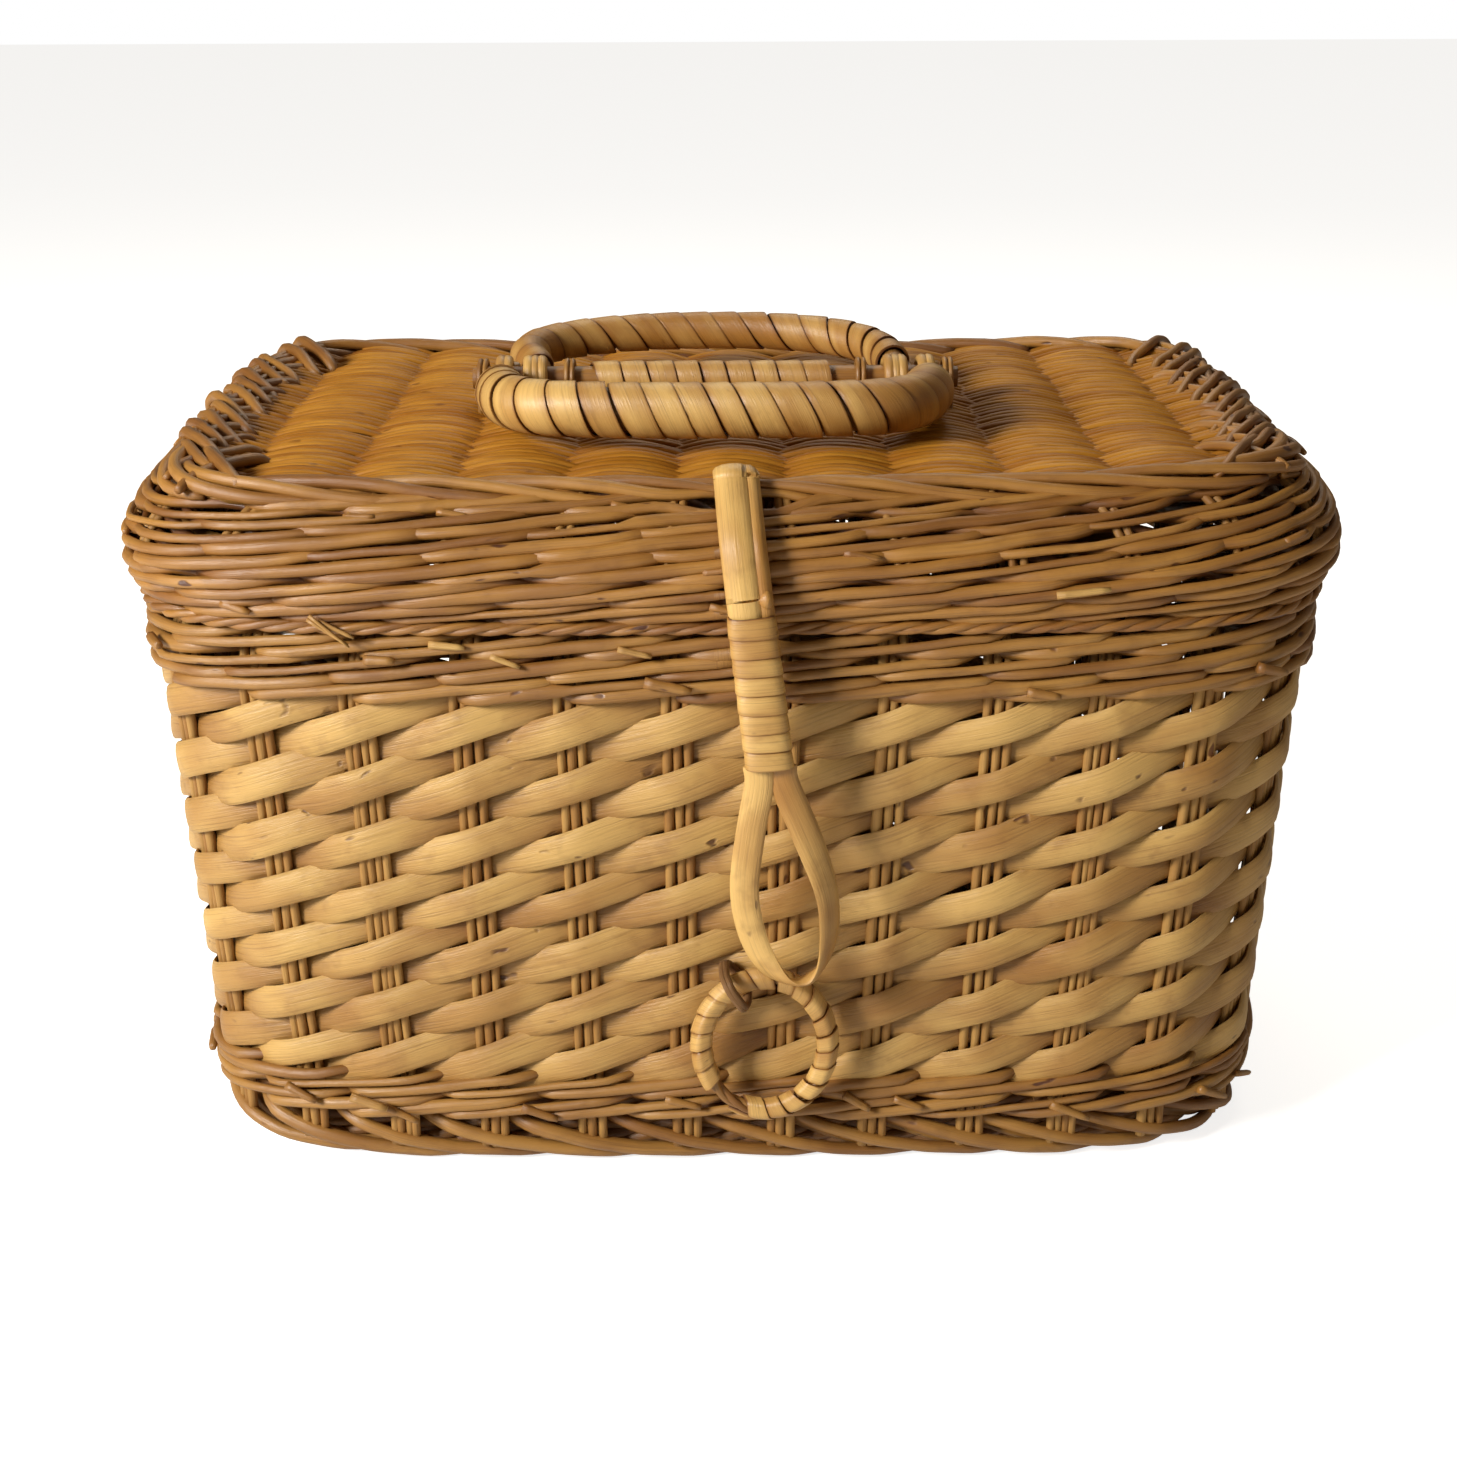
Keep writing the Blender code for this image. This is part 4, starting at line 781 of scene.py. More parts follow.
rng = np.random.default_rng(lid["seed"])
rise = np.linspace(lid["low"], lid["high"], 200)
climb = np.concatenate([[0], np.cumsum(np.hypot(np.diff(rise), np.diff(lidHalf(rise))))])
rowEdges = np.interp(np.linspace(0, climb[-1], lid["rows"] + 1), climb, rise)
for number, rows in ((1, (0, 1)), (2, (2, 3)), (3, (4, 5))):
    bundle = newBundle()
    for row in rows:
        low, high = rowEdges[row], rowEdges[row + 1]
        waleRow(bundle, (low + high) / 2, (high - low) / 2, lid["rodRadius"],
                lambda z: lidHalf(z), lambda z: lidHalf(z) - 0.0044, rng, 0.45,
                shift=rng.uniform(0, 3), sagOf=sagSides, shape=clearFold, radiusSpread=0.30)
    for k in range(8):
        height = rowEdges[rows[0]] + rng.uniform(0.001, 0.010)
        stub(bundle, rng.uniform(0, 1), float(lidHalf(height)) - 0.0012, height,
             rng.uniform(0.007, 0.014), rng.uniform(-0.002, 0.004), rng.uniform(0.001, 0.0016),
             rng, 0.0008, sagSides)
    finishBundle(bundle, "lidSideWale%d" % number, willow["lidRod"], "lid",
                 ["lid_side_wale_%d" % number], 0)

bundle = newBundle()
for group in range(plan["groups"]):
    for k in (-0.5, 0.5):
        count = 16
        height = np.linspace(levels["lidFoot"] - 0.001, 0.2275, count)
        share = (group + 0.5) / plan["groups"] + k * lid["stakeSpacing"] / plan["wayRound"]
        share = share + drift(count, 1, 0.0002, rng)
        path, out = onPlan(share, lidHalf(height) - 0.0040, height)
        path[:, 2] += sagSides(path)
        addStrand(bundle, path, out, lid["stakeRadius"], lid["stakeRadius"], ovalSection(7),
                  toneRow(rng, count, 0.5, 0.2, 0.3), startSeed=rng.uniform(0, 5))
finishBundle(bundle, "lidStakes", willow["stake"], "lid", ["lid_inner_wall"], 0)

bundle = newBundle()
rope(bundle, 0.1840, lidAxis["z"], 0.00105, 0.00120, 40, rng, tint=0.45, rods=3)
finishBundle(bundle, "lidBottomBorder", willow["lidRod"], "lid", ["lid_bottom_border"],
             0)

# Lid top
lidTop = {"pitch": 0.0325, "rowPitch": 0.00215, "halfWidth": 0.00205, "halfThick": 0.00105,
          "middle": 0.2256, "swing": 0.0028, "stickRadius": 0.0017, "stickSpacing": 0.0018,
          "sticks": 9, "strapGap": 0.009, "half": 0.1672, "seed": 71}


def sagTop(path):
    return lidSag(path[:, 0], path[:, 1] - plan["centreY"])


def clearStrap(run, across):
    # Skeins draw back from the strap's fold
    edge = strapAxis["y"] - plan["centreY"] + strapAxis["notch"] + 0.0016
    near = soft(-np.abs(run - strapAxis["x"]), -0.022, -0.0085)
    push = np.clip(edge + 0.45 * (across + 0.1052) - across, 0, None)
    return across + push * near


rng = np.random.default_rng(lidTop["seed"])
bundle = newBundle()
depth = lidTop["half"] - plan["lengthOverDepth"]
rows = int(2 * depth / lidTop["rowPitch"])
for row in range(rows):
    y = (row - (rows - 1) / 2) * lidTop["rowPitch"]
    reach = planReach(lidTop["half"], y, True)
    panelStrand(bundle, reach, y, 0.0, lidTop["pitch"], 1 if row % 2 else -1, lidTop["middle"],
                lidTop["swing"], lidTop["halfWidth"], lidTop["halfThick"], True, rng,
                0.40, sagTop, clearStrap)
finishBundle(bundle, "lidTopSkeins", willow["lidSkein"], "lid", ["lid_top_panel"],
             0)
bundle = newBundle()
for number in range(lidTop["sticks"]):
    x = (number - (lidTop["sticks"] - 1) // 2) * lidTop["pitch"]
    reach = planReach(lidTop["half"], abs(x) + 0.003, False)
    for side in (-1, 1):
        start = -reach + (lidTop["strapGap"] if abs(x - strapAxis["x"]) < 0.01 else 0)
        stick(bundle, (x + side * lidTop["stickSpacing"], start + plan["centreY"], lidTop["middle"]),
              (x + side * lidTop["stickSpacing"], reach + plan["centreY"], lidTop["middle"]),
              lidTop["stickRadius"], rng, sagTop)
finishBundle(bundle, "lidSticks", willow["stake"], "lid",
             ["lid_stick_%d" % k for k in range(1, 10)], 0)

topBorder = {"radius": 0.0021, "span": 3.1, "squareness": 8.5, "seed": 83,
             "heights": [0.2262, 0.2288, 0.2296, 0.2288, 0.2268, 0.2250, 0.2240],
             "halves": [0.1655, 0.1672, 0.1690, 0.1708, 0.1724, 0.1734, 0.1715]}


def pinchAtStrap(path, size):
    # The strap's fold binds the border's rods together
    near = soft(-np.abs(path[:, 0] - strapAxis["x"]), -0.026, -0.0085)
    near = near * (path[:, 1] < -0.08)
    offset = path[:, 1:] - np.array([strapAxis["y"], strapAxis["z"]])
    distance = np.maximum(np.linalg.norm(offset, axis=1), 1e-9)
    wanted = np.minimum(distance, 0.0019)
    scale = 1 + near * (wanted / distance - 1)
    moved = path.copy()
    moved[:, 1:] = np.array([strapAxis["y"], strapAxis["z"]]) + offset * scale[:, None]
    return moved, size * (1 - 0.25 * near)


def squareCorners(path):
    # The front rods run straight on to the corners
    half = halfSizes["topBorder"]
    u = np.abs(path[:, 0]) / half
    v = np.abs(path[:, 1] - plan["centreY"]) / (half - plan["lengthOverDepth"])
    plain, squared = plan["squareness"], topBorder["squareness"]
    grow = ((u ** plain + v ** plain) ** (1 / plain)
            / (u ** squared + v ** squared) ** (1 / squared))
    grow = 1 + (grow - 1) * soft(plan["centreY"] - path[:, 1], 0.03, 0.08)
    path[:, 0] *= grow
    path[:, 1] = plan["centreY"] + (path[:, 1] - plan["centreY"]) * grow
    return path


def shapeTop(path, size):
    return pinchAtStrap(squareCorners(path), size)


rng = np.random.default_rng(topBorder["seed"])
bundle = newBundle()
for group in range(plan["groups"]):
    borderRod(bundle, group + rng.normal(0, 0.08), topBorder["span"], topBorder["heights"],
              topBorder["halves"], topBorder["radius"], rng, 0.42, sagTop, shapeTop)
finishBundle(bundle, "lidTopBorder", willow["lidRod"], "lid", ["lid_top_border"],
             0)

# Plaited ends of the lid: short rods that cross over the border
plait = {
    "rods": 14, "leftRadius": 0.00215, "rightRadius": 0.00165, "front": -0.088, "run": 0.172,
    "seed": 89,
    # Outward from the border, along it, and height
    "over": [(-0.0170, -0.0200, 0.2260), (-0.0140, -0.0160, 0.2288), (-0.0085, -0.0080, 0.2308),
             (-0.0030, 0.0020, 0.2312), (0.0010, 0.0110, 0.2300), (0.0040, 0.0170, 0.2268),
             (0.0050, 0.0210, 0.2230)],
    "under": [(-0.0175, 0.0150, 0.2255), (-0.0140, 0.0125, 0.2282), (-0.0090, 0.0065, 0.2292),
              (-0.0040, -0.0020, 0.2295), (0.0010, -0.0100, 0.2290), (0.0042, -0.0170, 0.2262)],
}
rng = np.random.default_rng(plait["seed"])


def curveThrough(controls, count):
    # Catmull-Rom points through the controls
    controls = np.asarray(controls, float)
    padded = np.vstack([2 * controls[0] - controls[1], controls, 2 * controls[-1] - controls[-2]])
    t = np.linspace(0, len(controls) - 1, count)
    k = np.minimum(t.astype(int), len(controls) - 2)
    f = (t - k)[:, None]
    p0, p1, p2, p3 = padded[k], padded[k + 1], padded[k + 2], padded[k + 3]
    return 0.5 * (2 * p1 + (p2 - p0) * f + (2 * p0 - 5 * p1 + 4 * p2 - p3) * f * f
                  + (3 * p1 - p0 - 3 * p2 + p3) * f * f * f)


bundle = newBundle()
for side in (-1, 1):
    for k in range(plait["rods"]):
        y = plait["front"] + plait["run"] * k / (plait["rods"] - 1) + rng.normal(0, 0.0008)
        edge = planReach(halfSizes["topBorder"], y, True)
        size = plait["leftRadius"] if side < 0 else plait["rightRadius"]
        for controls, bend in ((plait["over"], 1.0), (plait["under"], 0.85)):
            stray = rng.normal(0, 0.0012, 2)
            points = [(side * (edge + dx + stray[0]), y + dy * rng.uniform(0.85, 1.15) + stray[1]
                       + plan["centreY"], z + rng.normal(0, 0.0004)) for dx, dy, z in controls]
            path = curveThrough(points, 22)
            path[:, 2] += sagTop(path)
            out = np.tile([side * 0.45, 0.0, 0.9], (22, 1))
            radius = size * bend * rng.uniform(0.82, 1.12) * np.interp(
                np.linspace(0, 1, 22), [0, 0.2, 0.7, 1], [0.8, 1, 1, 0.75])
            addStrand(bundle, path, out, radius, radius, ovalSection(8),
                      toneRow(rng, 22, 0.60, 0.25, 0.1), startSeed=rng.uniform(0, 5),
                      pointy=(0.2, 0.2))
finishBundle(bundle, "lidEndPlaits", willow["lidRod"], "lid", [], 0)

# Loose ends seen at the front: x, height, length, drop, radius
strays = {
    "lid": [(-0.1210, 0.1930, 0.0125, 0.0070, 0.0007), (-0.1195, 0.1945, 0.0120, 0.0090, 0.0006),
            (-0.1180, 0.1925, 0.0110, 0.0045, 0.0008), (0.0900, 0.2010, 0.0140, -0.0020, 0.0012)],
    "basket": [(-0.0880, 0.1850, 0.0110, 0.0006, 0.0013), (-0.0700, 0.1815, 0.0090, 0.0030, 0.0010),
               (-0.1260, 0.0290, 0.0130, 0.0030, 0.0017), (-0.0330, 0.1835, 0.0100, 0.0020, 0.0011)],
}
rng = np.random.default_rng(91)
for body, ends in strays.items():
    bundle = newBundle()
    for x, height, length, drop, radius in ends:
        half = float(lidHalf(height)) + 0.0012 if body == "lid" else float(wallHalf(height)) + 0.0030
        stub(bundle, x / plan["wayRound"] % 1.0, min(half, 0.1905), height, length, drop, radius,
             rng, 0.0012)
    finishBundle(bundle, body + "Strays", willow["split"], body, [], 0)
print("lid woven")


# Windings
def sampleAlong(path, distances):
    steps = np.linalg.norm(np.diff(path, axis=0), axis=1)
    lengths = np.concatenate([[0], np.cumsum(steps)])
    return np.column_stack([np.interp(distances, lengths, path[:, k]) for k in range(3)]), lengths


def woundStrip(bundle, path, binormal, radiiOf, turns, thickness, rng, tints, overlap=1.0,
               lead=(0.0, 0.0), leadAngle=0.0, sides=20, direction=1, raised=0.0005):
    # One flat skein wound round a path, each turn laid against the last
    length = float(np.linalg.norm(np.diff(path, axis=0), axis=1).sum())
    pitch = length / (turns + 1)
    count = int(turns * sides) + 1
    t = np.arange(count) / sides
    middle = pitch * (0.5 + t)
    angle = direction * 2 * math.pi * t
    slant = np.interp(t / turns, np.linspace(0, 1, len(lead)), lead)
    turn = t.astype(int)
    kinds = int(turns) + 2
    jitter = rng.normal(0, 0.05, kinds)
    widths = (pitch / 2) * overlap * (1 + rng.normal(0, 0.07, kinds).clip(-0.13, 0.13))
    tints = np.clip(np.interp(np.linspace(0, 1, kinds), np.linspace(0, 1, len(tints)), tints)
                    + rng.normal(0, 0.14, kinds), 0, 1)
    seeds = rng.uniform(0, 1, kinds)
    middle = middle + pitch * np.interp(t, np.arange(kinds), jitter)
    half = np.interp(t, np.arange(kinds), widths)
    lanes = np.array([-1.0, -0.86, -0.45, 0.0, 0.45, 0.86, 1.0])
    rise = np.array([0.62, 0.92, 1.0, 1.0, 1.0, 0.98, 0.86]) * thickness
    lift = np.linspace(0, raised, len(lanes))
    rings = []
    lanePlan = list(zip(lanes, rise, lift))
    lanePlan += [(1.0, 0.0, raised), (0.0, -0.15 * thickness, 0), (-1.0, 0.0, 0.0)]
    for lane, up, extra in lanePlan:
        shift = slant * np.sin(angle - leadAngle) * half
        distance = np.clip(middle + lane * half + shift, 0, length)
        centre, lengths = sampleAlong(path, distance)
        ahead, _ = sampleAlong(path, np.clip(distance + 0.0006, 0, length))
        back, _ = sampleAlong(path, np.clip(distance - 0.0006, 0, length))
        run = ahead - back
        run /= np.linalg.norm(run, axis=1)[:, None]
        across = np.cross(binormal, run)
        across /= np.linalg.norm(across, axis=1)[:, None]
        halfU, halfV = radiiOf(np.clip(distance / length, 0, 1), angle)
        grow = up + extra
        rings.append(centre + ((halfU + grow) * np.cos(angle))[:, None] * across
                     + ((halfV + grow) * np.sin(angle))[:, None] * np.asarray(binormal))
    rings = np.stack(rings, axis=1)
    lanesAll = rings.shape[1]
    base = bundle["count"]
    i = np.repeat(np.arange(count - 1), lanesAll)
    j = np.tile(np.arange(lanesAll), count - 1)
    beside = (j + 1) % lanesAll
    quads = np.column_stack([i * lanesAll + j, (i + 1) * lanesAll + j,
                             (i + 1) * lanesAll + beside, i * lanesAll + beside])
    if direction > 0:
        quads = quads[:, ::-1]
    stepLength = np.linalg.norm(np.diff(rings[:, 3], axis=0), axis=1)
    along = np.concatenate([[0], np.cumsum(stepLength)]) + rng.uniform(0, 5)
    place = np.concatenate([(lanes + 1) * pitch / 2, [pitch * 1.05, pitch * 1.5, pitch * 2,
                                                      pitch * 2.1]])
    corner = [(i, j), (i + 1, j), (i + 1, j + 1), (i, j + 1)]
    if direction > 0:
        corner = corner[::-1]
    uv = np.stack([np.stack([along[a], place[b]], 1) for a, b in corner], axis=1)
    # Painted shade along the strip's edges and under it, in the slits between turns
    shade = np.tile(np.array([0.85, 0.25, 0.0, 0.0, 0.0, 0.10, 0.55, 0.9, 1.0, 1.0]), (count, 1))
    tone = np.stack([np.repeat(np.interp(t, np.arange(kinds), tints)[:, None], lanesAll, 1),
                     np.repeat(seeds[turn][:, None], lanesAll, 1), shade], axis=2)
    bundle["points"].append(rings.reshape(-1, 3))
    bundle["quads"].append(base + quads)
    bundle["quadUv"].append(uv.reshape(-1, 2))
    bundle["tone"].append(tone.reshape(-1, 3))
    bundle["caps"] += [base + np.arange(lanesAll), base + (count - 1) * lanesAll
                       + np.arange(lanesAll)[::-1]]
    bundle["capUv"] += [np.zeros((lanesAll, 2)), np.zeros((lanesAll, 2))]
    bundle["count"] += count * lanesAll


# Handles
handles = {"x": -0.0050, "y": 0.0033, "z": 0.2375, "tilt": math.radians(3.6), "barRadius": 0.0040,
           "barHalf": 0.0810, "barWrapHalf": 0.0430, "barTurns": 9, "endRadius": 0.0036,
           "taper": 0.024, "coilRadius": 0.0061, "coilTurns": 2.6, "coilLength": 0.0056,
           "coilHalfWidth": 0.0019, "coilHalfThick": 0.0016, "seed": 97}
# Painted light: the front bail's tints run pale on the left to warm on the right, as if lit from the
# left; the rear bail's darker tints are painted shade on its shaded front face
bails = {
    "front": {"eyeX": 0.0702, "reach": 0.0665, "way": -1, "core": 0.0063, "turns": 22,
              "tints": (0.10, 0.20, 0.55, 0.95), "lead": (0.0, 0.2, 0.55, 0.5, 0.1),
              "bulge": (),
              "shares": [(1.0, 0.09), (0.995, 0.22), (0.975, 0.46), (0.90, 0.74), (0.74, 0.91),
                         (0.48, 0.98), (0.22, 1.0)]},
    "rear": {"eyeX": 0.0600, "reach": 0.0620, "way": 1, "core": 0.0043, "turns": 17,
             "tints": (1.0, 1.0, 0.85, 0.3), "lead": (0.1, 0.5, 0.5, 0.1),
             "bulge": (0.0000, 0.0060, 0.0075, 0.0050, 0.0020),
             "shares": [(1.0, 0.09), (1.01, 0.22), (0.98, 0.45), (0.88, 0.68), (0.68, 0.86),
                        (0.38, 0.97), (0.15, 1.0)]},
}
handleAxis = np.array([handles["x"], handles["y"], handles["z"]])


def bailPath(bail):
    half = [(bail["eyeX"] * across, bail["way"] * bail["reach"] * share * math.cos(handles["tilt"]),
             bail["reach"] * share * math.sin(handles["tilt"])) for across, share in bail["shares"]]
    bulges = (0, *bail["bulge"], *(0,) * (len(half) - 1 - len(bail["bulge"])))
    whole = [(-x - bulge, y, z) for (x, y, z), bulge in zip(half, bulges)] + half[::-1]
    return handleAxis + curveThrough(whole, 160)


rng = np.random.default_rng(handles["seed"])
for name, bail in bails.items():
    path = bailPath(bail)
    binormal = np.array([0, -bail["way"] * math.sin(handles["tilt"]), math.cos(handles["tilt"])])
    steps = np.linalg.norm(np.diff(path, axis=0), axis=1)
    length = steps.sum()
    lengths = np.concatenate([[0], np.cumsum(steps)])

    def coreRadius(share, bail=bail, length=length):
        reached = np.clip(np.minimum(share, 1 - share) * length / handles["taper"], 0, 1)
        return handles["endRadius"] + reached * (bail["core"] - handles["endRadius"])

    bundle = newBundle()
    outward = np.tile(binormal, (len(path), 1))
    size = coreRadius(lengths / length) * 0.99 + 0.0007
    addStrand(bundle, path, outward, size, size, ovalSection(14),
              toneRow(rng, len(path), 0.7, 0.1, 0.5))
    for side in (-1, 1):
        # Each end is coiled round the bar
        count = 3 * 22
        t = np.linspace(0, 1, count)
        angle = 2 * math.pi * handles["coilTurns"] * t + (0 if bail["way"] > 0 else math.pi)
        radius = handles["coilRadius"]
        coil = handleAxis + np.column_stack([side * bail["eyeX"]
                                             + handles["coilLength"] * (t - 0.5),
                                             radius * np.cos(angle), radius * np.sin(angle)])
        out = np.column_stack([np.zeros(count), np.cos(angle), np.sin(angle)])
        addStrand(bundle, coil, out, handles["coilHalfWidth"], handles["coilHalfThick"],
                  ovalSection(9), toneRow(rng, count, 0.35, 0.1, 0.1))
    finishBundle(bundle, name + "HandleCore", willow["wrap"], name + "_handle",
                 [name + "_handle_core"], 0)
    bundle = newBundle()
    clear = int(np.searchsorted(lengths, 0.0080 - 0.09 * bail["reach"]))
    inner = path[max(clear, 1):len(path) - max(clear, 1)]
    offset = lengths[max(clear, 1)] / length

    def wrapRadii(share, angle, offset=offset, radiusOf=coreRadius):
        value = radiusOf(offset + share * (1 - 2 * offset)) + 0.0011
        return value, value

    woundStrip(bundle, inner, binormal, wrapRadii, bail["turns"], 0.0009, rng, bail["tints"],
               overlap=1.0, lead=bail["lead"], leadAngle=math.radians(160), sides=28)
    finishBundle(bundle, name + "HandleWrap", willow["wrap"], name + "_handle",
                 [name + "_handle_wrap"], 42)

bundle = newBundle()
bar = np.linspace(-handles["barHalf"], handles["barHalf"], 40)
path = handleAxis + np.column_stack([bar, np.zeros(40), np.zeros(40)])
size = handles["barRadius"] * (1 + drift(40, 3, 0.012, rng)) * 0.985
addStrand(bundle, path, np.tile([0.0, 0.0, 1.0], (40, 1)), size, size, ovalSection(14),
          toneRow(rng, 40, 0.5, 0.05, 0.15), pointy=(0.12, 0.12))
finishBundle(bundle, "handleBar", willow["lidRod"], "lid", ["handle_bar"], 40)
bundle = newBundle()
path = handleAxis + np.column_stack([np.linspace(-handles["barWrapHalf"], handles["barWrapHalf"],
                                                 60), np.zeros(60), np.zeros(60)])
woundStrip(bundle, path, np.array([0.0, 0.0, 1.0]),
           lambda share, angle: (handles["barRadius"] + 0.0005, handles["barRadius"] + 0.0005),
           handles["barTurns"], 0.0009, rng, (0.2, 0.6), overlap=0.98, sides=24)
finishBundle(bundle, "handleBarWrap", willow["wrap"], "lid", ["handle_bar_wrap"],
             42)

handleTie = {"bend": 0.0057, "foot": 0.0012, "halfGap": 0.0009, "halfWidth": 0.0010,
             "halfThick": 0.0009}
for number in range(1, 5):
    low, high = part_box("handle_tie_%d" % number)
    x = (low.x + high.x) / 2
    bend, foot, gap = handleTie["bend"], handleTie["foot"], handleTie["halfGap"]
    lowZ = low.z + foot
    bundle = newBundle()
    for side in (-1, 1):
        arc = [(x + side * gap, handles["y"] + bend * math.cos(a), handles["z"]
                + bend * math.sin(a)) for a in np.linspace(0, math.pi, 9)]
        legs = [(x + side * gap, handles["y"] - bend, (handles["z"] + lowZ) / 2),
                (x + side * gap, handles["y"] - bend + foot, lowZ),
                (x + side * gap, handles["y"] + bend - foot, lowZ),
                (x + side * gap, handles["y"] + bend, (handles["z"] + lowZ) / 2)]
        ring = arc + legs
        closedRing = curveThrough(ring + [ring[0]], 61)[:-1]
        out = np.tile([1.0, 0.0, 0.0], (60, 1))
        addStrand(bundle, closedRing, out, handleTie["halfWidth"], handleTie["halfThick"],
                  ovalSection(8), toneRow(rng, 60, 0.4, 0.2, 0.1), closed=True)
    finishBundle(bundle, "handleTie%d" % number, willow["rod"], "lid",
                 ["handle_tie_%d" % number], 0)
print("handles wound")

# Clasp strap
strap = {"x": 0.0020, "lean": math.radians(6.8), "width": 0.0120, "thickness": 0.0054,
         "wrapY": -0.1276, "fall": 0.0018, "bulgeZ": 0.2025, "wrapDrop": 0.0024,
         "wrapLength": 0.0520, "turns": 8, "loopLength": 0.0676, "loopHalfWidth": 0.0124,
         "loopRibbon": 0.0044, "ribbonThick": 0.0013, "foldRadius": 0.0053,
         "shoulder": (-0.1236, 0.2172), "seed": 101,
         # Sideways, half width, set back, tilt and tint of the two legs under the winding
         "legs": [(-0.0014, 0.0052, 0.0, -0.10, 0.25), (0.0043, 0.0026, 0.0007, 0.75, 0.70)],
         "loopShares": [(0.285, -0.05), (0.31, 0.04), (0.66, 0.27), (0.97, 0.52), (0.98, 0.70),
                        (0.80, 0.86), (0.45, 0.965), (0.0, 1.0)]}
wrapTop = strap["bulgeZ"] - strap["wrapDrop"]
wrapEnd = wrapTop - strap["wrapLength"]


def leanOver(points):
    points = np.array(points, float)
    points[:, 0] -= (points[:, 2] - strapAxis["z"]) * math.tan(strap["lean"])
    return points


rng = np.random.default_rng(strap["seed"])
arc = [(strap["x"], strapAxis["y"] + strap["foldRadius"] * math.cos(a),
        strapAxis["z"] + strap["foldRadius"] * math.sin(a)) for a in np.linspace(-0.9, 2.75, 8)]
fallPoints = [(strap["x"], *strap["shoulder"]), (strap["x"], strap["wrapY"], strap["bulgeZ"]),
              (strap["x"], strap["wrapY"], wrapTop),
              (strap["x"], strap["wrapY"] - strap["fall"] * 0.5, (wrapTop + wrapEnd) / 2),
              (strap["x"], strap["wrapY"] - strap["fall"], wrapEnd + 0.004)]
strapPath = curveThrough(leanOver(arc + fallPoints), 110)
spineRun = np.gradient(strapPath, axis=0)
spineOut = np.cross(spineRun, np.tile([1.0, 0.0, 0.0], (110, 1)))
spineOut /= np.linalg.norm(spineOut, axis=1)[:, None]
if spineOut[60, 1] > 0:
    spineOut = -spineOut
along = np.linspace(0, 1, 110)
thick = np.interp(along, [0, 0.30, 0.50, 1.0], [0.0012, 0.0014, 0.0024, 0.0028])
bundle = newBundle()
for shift, width, back, tilt, tint in strap["legs"]:
    # A broad leg in front and the other one's edge beside it
    path = strapPath + np.array([shift, 0, 0]) - back * spineOut
    count = len(path)
    outward = spineOut + np.array([tilt, 0, 0])
    addStrand(bundle, path, outward, width, thick, splitSection(),
              toneRow(rng, count, tint, 0.05, 0.0), pointy=(0.2, 0))
half = [(strap["loopHalfWidth"] * across, strap["wrapY"] - strap["fall"],
         wrapEnd - strap["loopLength"] * down) for across, down in strap["loopShares"]]
whole = [(x + strap["x"], y, z) for x, y, z in half]
whole += [(-x + strap["x"], y, z) for x, y, z in half[-2::-1]]
loop = curveThrough(leanOver(whole), 120)
bend = np.linspace(0, 1, 120)
loopMiddle = leanOver([(strap["x"], strap["wrapY"], wrapEnd - 0.62 * strap["loopLength"])])[0]
radial = loop - loopMiddle
radial[:, 1] = 0
radial /= np.linalg.norm(radial, axis=1)[:, None]
turned = np.interp(bend, [0, 0.28, 0.45, 0.58, 0.70, 1], [0.25, 0.55, 0.90, 0.50, 0.05, 0])
loopOut = turned[:, None] * radial + (1 - turned)[:, None] * np.array([-0.12, -1.0, 0.0])
# Painted light and shade: the loop is pale down its left side, towards the key light, and warmer and
# darker down its right side
loopTone = toneRow(rng, 120, 0.2, 0.02, 0.0)
loopTone[:, 0] = np.interp(bend, [0, 0.3, 0.5, 0.65, 1], [0.6, 0.75, 0.85, 0.2, 0.05])
addStrand(bundle, loop, loopOut, strap["loopRibbon"], strap["ribbonThick"], splitSection(),
          loopTone)
finishBundle(bundle, "claspStrapRod", willow["wrap"], "clasp_strap", ["clasp_strap_rod"],
             55)
bundle = newBundle()
straight = leanOver([(strap["x"], strap["wrapY"] - strap["fall"] * k / 20,
                      wrapTop - strap["wrapLength"] * k / 20) for k in range(21)])


def strapSection(share, angle):
    # Radii that give the wound strap flat faces
    rounded = np.abs(np.cos(angle)) ** 3 + np.abs(np.sin(angle)) ** 3
    flatten = 1.0 / np.maximum(rounded, 0.1) ** (1 / 3)
    return (strap["thickness"] / 2 + 0.0003) * flatten, strap["width"] / 2 * flatten


woundStrip(bundle, straight, np.array([1.0, 0.0, 0.0]), strapSection, strap["turns"], 0.0009, rng,
           (0.15, 0.35), overlap=1.02, lead=(0.5, 0.5), leadAngle=math.radians(180), sides=32,
           direction=-1)
finishBundle(bundle, "claspStrapWrap", willow["wrap"], "clasp_strap", ["clasp_strap_wrap"],
             42)

# Clasp ring
ring = {"x": 0.0100, "y": -0.11836, "z": 0.0525, "halfWidth": 0.0197, "halfHeight": 0.0235,
        "core": 0.0022, "turns": 19, "start": math.radians(240), "sweep": math.radians(338),
        "rodGap": 0.0009, "rodRadius": 0.00125, "seed": 107}
rng = np.random.default_rng(ring["seed"])


def ringPoint(angle):
    return np.column_stack([ring["x"] + ring["halfWidth"] * np.cos(angle),
                            np.full(len(angle), ring["y"]),
                            ring["z"] + ring["halfHeight"] * np.sin(angle)])


